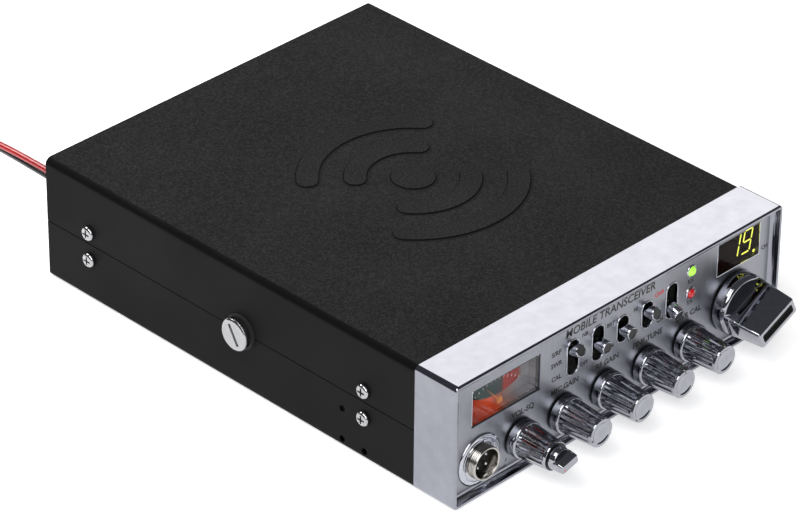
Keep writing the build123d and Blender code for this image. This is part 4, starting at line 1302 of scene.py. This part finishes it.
        def spot(along: float, across: float, inward: float) -> Point:
            """A point of the face from its place along and across the slot."""
            return (centre[0] - sign * inward, centre[1] + along * math.cos(lean) - across * math.sin(lean),
                    centre[2] + along * math.sin(lean) + across * math.cos(lean))

        for side in (-1, 1):
            arc = [start + (math.pi - 2 * start) * step / steps for step in range(steps + 1)]
            edge = [(radius * math.cos(turn), side * radius * math.sin(turn)) for turn in arc]
            top = head.loop(spot(a, b, drop) for a, b in edge)
            head.face(top)
            foot = head.loop(spot(a, side * half, depth) for a in (edge[0][0], edge[-1][0]))
            head.face((top[0], top[-1], foot[1], foot[0]))
        reach = radius * math.cos(start)
        floor = ((-reach, -half), (reach, -half), (reach, half), (-reach, half))
        head.face(head.loop(spot(a, b, depth) for a, b in floor))

    def build(self) -> None:
        """Dresses the covers and makes every screw."""
        self.dress_covers()
        self.lid_sign()
        self.screws()
        self.thumb_screw("thumb_screw_left", Body.LEFT_THUMB, -1)
        self.thumb_screw("thumb_screw_right", Body.RIGHT_THUMB, 1)
        repaint("thumb_washers", Finishes.RUBBER)


def repaint(node: str, finish: Finish) -> None:
    """Gives a CAD node one of the finishes."""
    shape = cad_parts[node]
    for slot in shape.material_slots:
        slot.material = finish.material()
    if not shape.material_slots:
        shape.data.materials.append(finish.material())
    log.info("%s: %s", node, finish.name)


@dataclass
class Bezel:
    """Chrome-plated surround of the front panel."""

    wall: float = 1.6
    corner: float = 2.2
    lip: float = 0.7

    def build(self) -> None:
        """One closed ring: outer skin, rounded lip, inner wall and the ledge that the panel sits on."""
        place = Place.of("front_bezel")
        width, height, middle = place.size.x, place.size.z, place.middle
        front, back = place.low.y, place.high.y
        seat = Place.of("front_panel").high.y
        stations = [(0.0, back), (0.0, front + 1.1)]
        for step in range(1, 6):
            turn = math.radians(18 * step)
            stations.append((self.lip * (1 - math.cos(turn)), front + 1.1 - 1.1 * math.sin(turn)))
        stations += [(self.wall - 0.35, front), (self.wall - 0.1, front + 0.12), (self.wall, front + 0.4),
                     (self.wall + 0.06, front + 1.3), (self.wall + 0.3, front + 2.1),
                     (self.wall + 0.75, front + 2.7), (self.wall + 1.4, front + 3.1),
                     (self.wall + 2.1, front + 3.24), (self.wall + 2.2, front + 3.3),
                     (self.wall + 2.2, seat), (self.wall + 3.0, seat), (self.wall + 3.0, seat + 2.0),
                     (self.wall, seat + 2.0), (self.wall, back)]
        ring = Solid("bezel_surround")
        rows = []
        for inset, y in stations:
            outline = round_rectangle(width - 2 * inset, height - 2 * inset, max(self.corner - inset, 0.5), 6)
            rows.append([(middle.x + x, y, middle.z + z) for x, z in outline])
        ring.ring(rows)
        ring.finish(Body.CASING, Finishes.CHROME, "front_bezel", "bezel_chrome", sharp=40)


@dataclass
class Legend:
    """One printed word: its text, the middle of its place on the panel, letter height and ink."""

    text: str
    x: float
    z: float
    height: float = 2.1
    red: bool = False


@dataclass
class PanelPrint:
    """Words and scale ticks printed on the front panel."""

    legends: Sequence[Legend] = (
        Legend("VOL-SQ", -52.0, 25.3, 2.4), Legend("MIC GAIN", -28.9, 25.4, 2.4),
        Legend("RF GAIN", -5.1, 25.6, 2.4), Legend("FINE TUNE", 17.9, 25.4, 2.4),
        Legend("SWR CAL", 41.5, 25.8, 2.4), Legend("S/RF", -34.2, 42.7, 2.0),
        Legend("SWR", -34.0, 37.6, 2.0), Legend("CAL", -33.8, 31.4, 2.0), Legend("NB", -18.4, 44.2, 1.7),
        Legend("OFF", -18.4, 31.0, 1.7), Legend("BRT", -3.9, 42.0, 1.7), Legend("DIM", -3.9, 31.6, 1.7),
        Legend("HI", 10.2, 42.2, 1.7), Legend("LO", 10.2, 31.8, 1.7), Legend("CH9", 23.6, 43.4, 1.8, True),
        Legend("CH", 24.6, 31.0, 1.8), Legend("RX", 41.8, 40.9, 1.8), Legend("TX", 41.8, 31.2, 1.8),
        Legend("CH", 85.6, 37.3, 1.8), Legend("OFF", -62.6, 3.9, 1.7),
        Legend("MOBILE TRANSCEIVER", -4.2, 48.5, 3.5))

    def word(self, legend: Legend, face: float) -> bpy.types.Mesh:
        """One word as a thin solid on the panel's face, in millimetres."""
        data = bpy.data.curves.new("legend", "FONT")
        data.body = legend.text
        data.size = legend.height / 0.69
        data.align_x, data.align_y = "CENTER", "CENTER"
        data.extrude = 0.02
        data.offset = 0.08 if legend.height > 2.5 else 0.045 * legend.height
        data.resolution_u = 3
        data.shear = 0.12 if legend.height > 2.5 else 0.0
        holder = bpy.data.objects.new("legend", data)
        bpy.context.scene.collection.objects.link(holder)
        graph = bpy.context.evaluated_depsgraph_get()
        mesh = bpy.data.meshes.new_from_object(holder.evaluated_get(graph))
        bpy.data.objects.remove(holder)
        return stand_on_front(mesh, legend.x, face - 0.01, legend.z)

    def build(self) -> None:
        """All words in one piece and all ticks in another."""
        face = Place.of("front_panel").low.y
        words = Solid("panel_legends")
        for legend in self.legends:
            merge(words, self.word(legend, face), int(legend.red))
        words.finish(Body.CASING, [Finishes.INK, Finishes.RED_INK], slot="panel_satin")
        ticks = Solid("panel_ticks")
        for node in ("volume_knob", "mic_gain_knob", "rf_gain_knob", "fine_tune_knob", "swr_cal_knob"):
            middle = Place.of(node).middle
            marks = Tools.RING.bake("ticks", {
                "Count": 3, "Radius": 10.3, "First Angle": math.radians(-45), "Sweep": math.radians(270),
                "Block": (1.5, 0.4, 0.05), "Material": Finishes.INK.material()})
            merge(ticks, stand_on_front(marks, middle.x, face - 0.02, middle.z))
        ticks.finish(Body.CASING, Finishes.INK, slot="panel_satin")
        repaint("front_panel", Finishes.PANEL)


@dataclass
class Meter:
    """Signal meter: clear moulded lens with thick walls, printed dial, needle."""

    wall: float = 1.3

    def printed(self) -> DialPrint:
        """The dial's print, placed on the dial."""
        place = Place.of("meter_dial")
        return DialPrint("meter_dial_print", (0.5, 0.1, 0.05), 0.45, (place.low.x, place.low.z),
                         (place.size.x, place.size.z))

    def lens(self) -> None:
        """Clear hood with thick bevelled walls that show painted light, its face proud of the panel."""
        place = Place.of("meter_lens")
        width, height, middle = place.size.x, place.size.z, place.middle
        front, back = place.low.y, place.high.y
        lens = Solid("meter_lens_hood")
        rows = []
        for inset, y in ((0.0, back), (0.0, front + 0.6), (0.2, front + 0.2), (0.55, front), (0.8, front)):
            rows.append([(middle.x + x, y, middle.z + z) for x, z in
                         round_rectangle(width - 2 * inset, height - 2 * inset, 0.7)])
        # The two bands of the front bevel take bright chrome: a painted highlight on the lens's edge.
        lens.loft(rows, cap_first=False, slots=[0, 2, 2, 0])
        lens.mesh.verts.ensure_lookup_table()
        count = len(rows[0])
        rim = lens.mesh.verts[:count]
        inner_back = lens.loop((middle.x + x, back, middle.z + z) for x, z in
                               round_rectangle(width - 2 * self.wall, height - 2 * self.wall, 0.4))
        inner_front = lens.loop((middle.x + x, front + 1.2, middle.z + z) for x, z in
                                round_rectangle(width - 2 * self.wall, height - 2 * self.wall, 0.4))
        lens.band(rim, inner_back)
        # The inner wall takes the glowing dial print: painted light, as if the walls carried the dial's glow.
        lens.band(inner_back, inner_front, 1)
        lens.face(list(reversed(inner_front)))
        lens.finish(Body.CASING, [Finishes.LENS, self.printed(), Finishes.BRIGHT], "meter_lens",
                    "clear_lens", sharp=25)

    def dial(self) -> None:
        """Printed dial plate with scale ticks in front of it."""
        place = Place.of("meter_dial")
        low, size = place.low, place.size
        plate = Solid("meter_dial_plate")
        plate.prism([(place.middle.x + x, place.middle.z + z) for x, z in
                     round_rectangle(size.x, size.z, 0.5)], low.y, place.high.y)
        plate.finish(Body.CASING, self.printed(), "meter_dial", "dial_print", 0.08)
        scale = Tools.RING.bake("meter_scale", {
            "Count": 13, "Radius": 20.5, "First Angle": math.radians(52), "Sweep": math.radians(76),
            "Block": (1.1, 0.22, 0.06), "Material": Finishes.WHITE.material()})
        stand_on_front(scale, place.middle.x - 1.0, low.y - 0.04, low.z - 9.0)
        finish_mesh("meter_scale_ticks", scale, Body.CASING, Finishes.WHITE)

    def build(self) -> None:
        """Lens, dial, needle and housing."""
        self.lens()
        self.dial()
        repaint("meter_needle", Finishes.ORANGE)
        repaint("meter_housing", Finishes.WHITE)


class Segment(Enum):
    """The seven segments of a digit: middle in digit widths and heights, and whether it is upright."""

    TOP = (0.5, 1.0, False)
    UPPER_LEFT = (0.0, 0.75, True)
    UPPER_RIGHT = (1.0, 0.75, True)
    MIDDLE = (0.5, 0.5, False)
    LOWER_LEFT = (0.0, 0.25, True)
    LOWER_RIGHT = (1.0, 0.25, True)
    BOTTOM = (0.5, 0.0, False)


DIGITS: dict[str, tuple[Segment, ...]] = {
    "1": (Segment.UPPER_RIGHT, Segment.LOWER_RIGHT),
    "9": (Segment.TOP, Segment.UPPER_LEFT, Segment.UPPER_RIGHT, Segment.MIDDLE, Segment.LOWER_RIGHT,
          Segment.BOTTOM)}


@dataclass
class ChannelDisplay:
    """Two-digit channel display behind a smoked window."""

    digit: Flat = (4.7, 10.1)
    stroke: float = 0.66
    slant: float = 10.0
    places: Sequence[tuple[str, float]] = (("1", 8.9), ("9", 16.0))
    base: float = 2.3
    point: Flat = (23.6, 0.9)

    def bar(self, shape: Solid, segment: Segment, x: float, z: float, y: float) -> None:
        """Adds one pointed segment of a digit whose lower left corner is at x, z."""
        across, up, upright = segment.value
        length = (self.digit[1] / 2 if upright else self.digit[0]) - 0.5
        half = self.stroke / 2
        tip = length / 2
        outline = [(-tip, 0), (-tip + half, -half), (tip - half, -half), (tip, 0), (tip - half, half),
                   (-tip + half, half)]
        lean = math.tan(math.radians(self.slant))
        placed = []
        for a, b in outline:
            along, high = (b, a) if upright else (a, b)
            high += up * self.digit[1]
            placed.append((x + across * self.digit[0] + along + high * lean, z + high))
        shape.prism(placed, y - 0.1, y)

    def build(self) -> None:
        """Lit segments, dark unlit face, smoked window with its thin frame."""
        window, module = Place.of("display_window"), Place.of("display_module")
        lit = Solid("display_digits")
        face = module.low.y
        for text, left in self.places:
            for segment in DIGITS[text]:
                self.bar(lit, segment, window.low.x + left, window.low.z + self.base, face)
        lit.lathe(((0, 0.1), (0.72, 0.1), (0.72, 0.0), (0, 0.0)),
                  (window.low.x + self.point[0], face, window.low.z + self.point[1]), (0, -1, 0), 20)
        lit.finish(Body.CASING, Finishes.SEGMENT, slot="green_lamp")
        repaint("display_module", Finishes.BACKING)
        repaint("display_window", Finishes.SMOKE)
        edge = Solid("display_window_edge")
        panel = Place.of("front_panel").low.y
        rows = []
        for inset, y in ((-0.42, panel + 0.02), (-0.42, panel - 0.06), (-0.3, panel - 0.14),
                         (-0.05, panel - 0.06), (-0.02, panel + 0.3)):
            rows.append([(window.middle.x + x, y, window.middle.z + z) for x, z in
                         round_rectangle(window.size.x - 2 * inset, window.size.z - 2 * inset, 0.35)])
        edge.ring(rows)
        edge.finish(Body.CASING, Finishes.BRIGHT, slot="bright_chrome")


# ---------------------------------------------------------------- controls


OUT = (0.0, -1.0, 0.0)


def panel_face() -> float:
    """Station of the front panel's face along Y, in millimetres."""
    return Place.of("front_panel").low.y


@dataclass
class RoundKnob:
    """Chrome knob: skirt, fluted barrel and dished face with a red pointer dot.

    Attributes:
        node: the CAD knob, whose name starts its pieces' names.
        body: the body that it turns with.
        pointer: direction of the dot, in degrees anticlockwise from +X seen from the front.
        hollow: whether a second knob stands in its face.
    """

    node: str
    body: str
    pointer: float
    hollow: bool = False
    skirt: float = 7.95
    skirt_end: float = 4.6
    root: float = 7.2
    tip: float = 6.1
    flutes: int = 14
    dish: float = 0.86

    def build(self) -> None:
        """Skirt, barrel and face in one piece."""
        place, face = Place.of(self.node), panel_face()
        x, z = place.middle.x, place.middle.z
        end = face - place.low.y
        start = face - place.high.y
        knob = Solid(self.node + "_chrome")
        centre = (x, face, z)
        skirt, rim = self.skirt, self.skirt_end
        knob.lathe(((0, start), (skirt - 0.5, start), (skirt, start + 0.35), (skirt, rim - 1.0),
                    (skirt - 0.12, rim - 0.5), (skirt - 0.4, rim - 0.15), (skirt - 0.8, rim), (0, rim)),
                   centre, OUT, 96)
        band = end - 1.5
        barrel = Tools.BARREL.bake("barrel", {
            "Flutes": self.flutes, "Root Radius": self.root, "Tip Radius": self.tip + 0.05,
            "Length": band - rim + 0.4, "Flute Depth": 0.55, "Steps Round": self.flutes * 16,
            "Material": Finishes.KNOB.material()})
        merge(knob, stand_on_front(barrel, x, face - rim + 0.3, z, self.pointer))
        edge = self.tip
        if self.hollow:
            # The inner lip and the face round the squelch knob are painted black: painted shade in the gap
            # between the two knobs.
            knob.lathe(((0, band), (edge, band), (edge, end - 0.35), (edge - 0.12, end - 0.08),
                        (edge - 0.3, end), (edge - 0.5, end - 0.1), (edge - 0.6, end - 0.3), (0, end - 0.3)),
                       centre, OUT, 96, slots=[0, 0, 0, 0, 0, 2, 2])
        else:
            knob.lathe(((0, band), (edge, band), (edge, end - 0.45), (edge - 0.12, end - 0.15),
                        (edge - 0.4, end), (edge - 1.35, end), (edge - 1.5, end - 0.08),
                        (edge - 1.7, end - 0.3), (edge - 2.3, end - 0.52), (edge - 3.2, end - 0.72),
                        (edge - 4.4, end - self.dish), (0, end - self.dish - 0.03)),
                       centre, OUT, 96)
            turn = math.radians(self.pointer)
            reach = edge - 0.85
            knob.lathe(((0, end - 0.1), (0.55, end - 0.1), (0.55, end - 0.02), (0.4, end), (0, end)),
                       (x + reach * math.cos(turn), face, z + reach * math.sin(turn)), OUT, 14, slots=[1] * 4)
        knob.finish(self.body, [Finishes.KNOB, Finishes.RED_INK, Finishes.BLACK], self.node, "knob_chrome",
                    sharp=38)


@dataclass
class BarKnob:
    """Chrome knob with a bar to grip, on a round base.

    Attributes:
        node: the CAD knob.
        body: the body that it turns with.
        base: (radius, distance out of the panel) points of the base.
        bar: (length, width, corner radius, distance) of each outline of the bar, root first.
        turn: lean of the bar, in degrees anticlockwise seen from the front.
        slot: length, width and depth of the recess in its end; None for a plain end.
        dot: place of the red dot along the bar and across it; None for no dot.
    """

    node: str
    body: str
    base: Sequence[Flat]
    bar: Sequence[tuple[float, float, float, float]]
    turn: float
    slot: tuple[float, float, float] | None = None
    dot: Flat | None = None

    def build(self) -> None:
        """Base, bar and end in one piece."""
        place, face = Place.of(self.node), panel_face()
        centre = (place.middle.x, place.middle.z)
        knob = Solid(self.node + "_chrome")
        knob.lathe(self.base, (centre[0], face, centre[1]), OUT, 128)
        end = self.bar[-1][3]
        rows = []
        for length, width, corner, distance in self.bar:
            outline = turned_flat(round_rectangle(length, width, corner, 5), self.turn, centre)
            rows.append([(x, face - distance, z) for x, z in outline])
        if self.slot:
            length, width, depth = self.slot
            for grow, sink in ((0.35, 0.0), (0.0, 0.3), (-0.1, depth)):
                outline = turned_flat(round_rectangle(length + grow, width + grow, 0.9, 5), self.turn, centre)
                rows.append([(x, face - end + sink, z) for x, z in outline])
        slots = [0] * len(self.bar) + [1] * (len(rows) - len(self.bar))
        knob.loft(rows, slots=slots[:-1])
        if self.dot:
            along, across = self.dot
            spot = turned_flat([(along, across)], self.turn, centre)[0]
            knob.lathe(((0, end - 0.2), (0.45, end - 0.2), (0.42, end + 0.02), (0, end + 0.03)),
                       (spot[0], face, spot[1]), OUT, 14, slots=[2, 2, 2])
        knob.finish(self.body, [Finishes.KNOB, Finishes.SHADOW, Finishes.RED_INK], self.node, "knob_chrome",
                    0.12, 30)


def squelch_knob() -> BarKnob:
    """The small knob in the volume knob's end."""
    return BarKnob("squelch_knob", Body.SQUELCH,
                   ((0, 18.9), (4.6, 18.9), (5.0, 19.25), (4.95, 20.6), (4.7, 21.7),
                    (4.45, 22.0), (0, 22.0)),
                   ((9.4, 4.9, 1.3, 21.6), (9.3, 4.8, 1.1, 23.2), (8.9, 3.9, 0.9, 25.8),
                    (8.3, 3.3, 0.7, 26.25)),
                   15.0, dot=(-3.0, -0.6))


def channel_knob() -> BarKnob:
    """The large channel knob."""
    return BarKnob("channel_knob", Body.CHANNEL,
                   ((0, 0.5), (12.5, 0.5), (13.0, 0.8), (13.15, 1.3), (13.1, 4.2), (12.8, 5.4), (12.2, 6.2),
                    (11.4, 6.6), (0, 6.6)),
                   ((23.6, 12.0, 1.6, 6.2), (23.5, 11.9, 1.5, 8.6), (23.2, 11.0, 1.3, 8.9),
                    (22.9, 10.9, 1.3, 11.2), (23.0, 10.4, 1.3, 11.5), (21.9, 8.5, 1.2, 22.4),
                    (21.5, 8.0, 1.0, 23.2), (20.7, 7.2, 0.8, 23.6)),
                   25.0, slot=(17.8, 3.9, 1.5))


@dataclass
class Levers:
    """Five toggle levers, their slots' rims and switch bodies."""

    names: Sequence[str] = ("meter_mode", "noise_blanker", "display_dimmer", "tone", "priority_channel")
    tilts: Sequence[float] = (20.0, 0.0, 0.0, 10.0, -20.0)
    slot_lengths: Sequence[float] = (15.4, 15.4, 11.4, 11.4, 15.4)
    first_x: float = -25.0
    pitch: float = 14.0
    height: float = 36.9
    pivot: float = 9.0
    slot_width: float = 6.0

    def lever(self, name: str, x: float, tilt: float) -> None:
        """One lever: a chrome bat whose end is painted black, a painted dark reflection."""
        turn = math.radians(tilt)
        bat = Solid(name + "_bat")
        # The last three bands, the recessed end, are black: a painted dark reflection of the end face.
        bat.lathe(((0, -1.5), (1.1, -1.5), (1.3, -1.0), (1.3, 3.0), (1.6, 5.2), (2.3, 6.8), (2.62, 8.2),
                   (2.69, 10.0), (2.69, 13.4), (2.6, 13.8), (2.4, 14.08), (2.2, 14.16), (2.05, 14.06),
                   (1.9, 13.9), (0, 13.82)),
                  (x, panel_face() + self.pivot, self.height), (0, -math.cos(turn), math.sin(turn)), 48,
                  slots=[0] * 11 + [1] * 3)
        bat.lathe(((0, -1.6), (0.8, -1.6), (0.8, 1.6), (0, 1.6)), (x, panel_face() + self.pivot, self.height),
                  (1, 0, 0), 20)
        bat.finish(name + "_toggle", [Finishes.BRIGHT, Finishes.BLACK], name + "_lever", "bright_chrome")

    def rims(self) -> None:
        """Rounded bright rims round the slots, and dark liners behind them, which are painted shade."""
        rims, liners = Solid("switch_slot_bright_rims"), Solid("switch_slot_liners")
        face = panel_face()
        for index, length in enumerate(self.slot_lengths):
            x = self.first_x + self.pitch * index
            rows = []
            for grow, out in ((0.0, -1.2), (0.0, 0.1), (0.1, 0.28), (0.3, 0.36), (0.5, 0.28), (0.62, 0.1),
                              (0.66, -0.02), (0.3, -1.2)):
                outline = stadium(length + 2 * grow, self.slot_width + 2 * grow)
                rows.append([(x + a, face - out, self.height + b) for a, b in outline])
            rims.ring(rows)
            rows = []
            for grow, back in ((0.6, 1.6), (0.6, 7.5), (0.2, 7.5), (0.2, 1.6)):
                outline = stadium(length + 2 * grow, self.slot_width + 2 * grow)
                rows.append([(x + a, face + back, self.height + b) for a, b in outline])
            liners.ring(rows)
        rims.finish(Body.CASING, Finishes.BRIGHT, "switch_slot_rims", "bright_chrome", sharp=60)
        # The liners' dark material is painted shade inside the slots.
        liners.finish(Body.CASING, Finishes.SHADOW, slot="black_plastic")

    def build(self) -> None:
        """Levers, rims and bodies."""
        for index, (name, tilt) in enumerate(zip(self.names, self.tilts)):
            self.lever(name, self.first_x + self.pitch * index, tilt)
        self.rims()
        repaint("toggle_bodies", Finishes.SHADOW)


@dataclass
class Lamps:
    """Receive and transmit lamps in chrome holders."""

    x: float = 41.8
    heights: Flat = (45.7, 35.5)

    def build(self) -> None:
        """Both domes and both holders."""
        holders = Solid("lamp_holder_rings")
        face = panel_face()
        for node, height, finish, slot in (("receive_lamp", self.heights[0], Finishes.GREEN_LAMP,
                                            "green_lamp"),
                                           ("transmit_lamp", self.heights[1], Finishes.RED_LAMP, "red_lamp")):
            dome = Solid(node + "_dome")
            dome.lathe(((0, -3.0), (1.9, -3.0), (1.95, 0.3), (1.86, 0.75), (1.6, 1.2), (1.15, 1.55),
                        (0.6, 1.75), (0, 1.8)), (self.x, face, height), OUT, 40)
            dome.finish(Body.CASING, finish, node, slot)
            holders.lathe(((2.02, -2.5), (2.02, 0.2), (2.1, 0.55), (2.3, 0.72), (2.55, 0.62), (2.8, 0.3),
                           (2.9, 0.0), (2.3, -0.05), (2.3, -2.5)), (self.x, face, height), OUT, 48, ring=True)
        holders.finish(Body.CASING, Finishes.BRIGHT, "lamp_holders", "bright_chrome", sharp=50)


def thread(radius: float, depth: float, start: float, stop: float, pitch: float) -> list[Flat]:
    """Profile of a thread as rounded rings.

    Args:
        radius: outer radius.
        depth: depth of the valleys.
        start: distance where it starts.
        stop: distance where it stops.
        pitch: ring spacing.

    Returns:
        (radius, distance) points from start to stop.
    """
    count = max(1, int(abs(stop - start) / pitch))
    step = (stop - start) / count
    points: list[Flat] = []
    for index in range(count):
        at = start + step * index
        points += [(radius - depth, at), (radius - depth * 0.3, at + step * 0.2), (radius, at + step * 0.4),
                   (radius, at + step * 0.6), (radius - depth * 0.3, at + step * 0.8)]
    return [*points, (radius - depth, stop)]


@dataclass
class MicSocket:
    """Four-pin microphone socket: threaded nickel barrel, flange nut, black insert, pins and key."""

    barrel: float = 7.1
    bore: float = 6.1
    flange: float = 11.2
    rim: float = 4.5

    def build(self) -> None:
        """Shell, pins and key."""
        place, face = Place.of("mic_socket_shell"), panel_face()
        centre = (place.middle.x, face, place.middle.z)
        insert = face - Place.of("mic_socket_insert").low.y
        shell = Solid("mic_socket_threaded_shell")
        back = face - place.high.y
        profile = [(self.bore, insert - 1.0), (self.bore, self.rim - 0.35),
                   (self.bore + 0.15, self.rim - 0.1), (self.bore + 0.35, self.rim),
                   (self.barrel - 0.3, self.rim), (self.barrel - 0.08, self.rim - 0.25),
                   *thread(self.barrel, 0.2, self.rim - 0.45, 1.1, 0.62), (7.4, 0.95), (8.4, 0.95),
                   (8.5, 0.7), (8.75, 0.62), (8.95, 0.85), (10.3, 0.85), (10.9, 0.6), (11.15, 0.2),
                   (self.flange, 0.0), (7.3, 0.0), (7.0, -0.5), (7.0, back), (self.bore, back)]
        flange = {index for index, (radius, _) in enumerate(profile) if radius > self.barrel + 0.2}
        shell.lathe(profile, centre, OUT, 96, ring=True,
                    slots=[int(index in flange) for index in range(len(profile))])
        shell.finish(Body.CASING, [Finishes.NICKEL, Finishes.BRIGHT], "mic_socket_shell", "nickel", sharp=36)
        pins = Solid("mic_socket_round_pins")
        for quarter in range(4):
            turn = math.radians(45 + 90 * quarter)
            pins.lathe(((0, insert - 1.0), (0.72, insert - 1.0), (0.72, insert + 3.0), (0.6, insert + 3.4),
                        (0.35, insert + 3.65), (0, insert + 3.75)),
                       (centre[0] + 3.1 * math.cos(turn), face, centre[2] + 3.1 * math.sin(turn)), OUT, 24)
        pins.finish(Body.CASING, Finishes.SCREW, "mic_socket_pins", "screw_steel")
        key = Solid("mic_socket_key")
        key.prism([(centre[0] + x, centre[2] - self.bore + 0.5 + z) for x, z in
                   turned_flat(round_rectangle(2.2, 1.7, 0.7), 0)], face - self.rim + 0.7, face - insert)
        key.finish(Body.CASING, Finishes.NICKEL, slot="nickel", bevel=0.15)
        repaint("mic_socket_insert", Finishes.BLACK)


@dataclass
class RearFittings:
    """Antenna socket, jacks and the lead's strain relief on the back."""

    ribs: int = 6

    def antenna(self) -> None:
        """Threaded antenna socket with a flange."""
        place = Place.of("antenna_shell")
        hole = Place.of("antenna_insulator").size.x / 2
        wall = Place.of("rear_panel").high.y
        end = place.high.y - wall
        radius = place.size.x / 2
        shell = Solid("antenna_threaded_shell")
        profile = [(hole, -2.0), (hole, end - 0.3), (hole + 0.3, end), (radius - 0.5, end),
                   *thread(radius - 0.05, 0.35, end - 0.4, 2.4, 1.05), (radius, 2.2), (radius, 0.3),
                   (radius - 0.2, 0.0), (radius - 0.6, -2.0)]
        shell.lathe(profile, (place.middle.x, wall, place.middle.z), (0, 1, 0), 80, ring=True)
        shell.finish(Body.CASING, Finishes.NICKEL, "antenna_shell", "nickel", sharp=36)
        repaint("antenna_insulator", Finishes.WHITE)
        repaint("antenna_contact", Finishes.BRASS)
        repaint("speaker_jacks", Finishes.NICKEL)

    def relief(self) -> None:
        """Tapered rubber strain relief with ribs round it."""
        place = Place.of("cord_strain_relief")
        wall = Place.of("rear_panel").high.y
        centre = (place.middle.x, wall, place.middle.z)
        length = place.high.y - wall
        relief = Solid("lead_strain_relief")
        profile: list[Flat] = [(0, -2.8), (5.8, -2.8), (6.0, -2.5), (6.0, -1.2), (4.6, -1.2), (4.6, 0.02),
                               (6.1, 0.02), (6.35, 0.3), (6.35, 2.2), (6.0, 2.6), (5.2, 2.9)]
        for rib in range(self.ribs):
            at = 3.6 + rib * (length - 5.0) / self.ribs
            wide = 5.0 - (5.0 - 3.35) * at / length
            profile += [(wide - 0.7, at - 0.15), (wide - 0.7, at + 0.35), (wide, at + 0.55),
                        (wide - 0.08, at + 1.5)]
        profile += [(3.3, length - 0.5), (3.1, length), (0, length)]
        relief.lathe(profile, centre, (0, 1, 0), 48)
        relief.finish(Body.CASING, Finishes.RUBBER, "cord_strain_relief", "black_rubber", sharp=36)

    def build(self) -> None:
        """Everything on the back."""
        self.antenna()
        self.relief()


class Insides:
    """Finishes of the parts inside the case and behind the panel, as the CAD model gives them."""

    FINISHES: ClassVar[dict[str, Finish]] = {
        "main_board": Finishes.BOARD, "tuning_cans": Finishes.TIN, "capacitors": Finishes.SLEEVE,
        "audio_transformer": Finishes.CORE, "speaker_frame": Finishes.FRAME_PAINT,
        "speaker_cone": Finishes.PAPER, "potentiometers": Finishes.ZINC, "channel_switch": Finishes.ZINC,
        "channel_shaft": Finishes.TURNED, "volume_shaft": Finishes.TURNED, "squelch_shaft": Finishes.TURNED,
        "mic_gain_shaft": Finishes.TURNED, "rf_gain_shaft": Finishes.TURNED,
        "fine_tune_shaft": Finishes.TURNED, "swr_cal_shaft": Finishes.TURNED}

    def build(self) -> None:
        """Gives each part its finish."""
        for node, finish in self.FINISHES.items():
            repaint(node, finish)


def knobs() -> list[RoundKnob | BarKnob]:
    """Every knob on the front."""
    pointers = {"mic_gain": 197.0, "rf_gain": 225.0, "fine_tune": 88.0, "swr_cal": 128.0}
    return [RoundKnob("volume_knob", Body.VOLUME, 60.0, hollow=True), squelch_knob(),
            *(RoundKnob(name + "_knob", name + "_control", pointer) for name, pointer in pointers.items()),
            channel_knob()]


def main() -> None:
    """Builds the transceiver."""
    logging.basicConfig(level=logging.INFO, format="%(name)s %(message)s", stream=sys.stdout)
    studio = Studio()
    studio.camera()
    studio.room()
    PowerLead().build()
    sections = [Case(), Bezel(), PanelPrint(), Meter(), ChannelDisplay(), *knobs(), Levers(), Lamps(),
                MicSocket(), RearFittings(), Insides()]
    for section in sections:
        section.build()


if __name__ == "__main__":
    main()
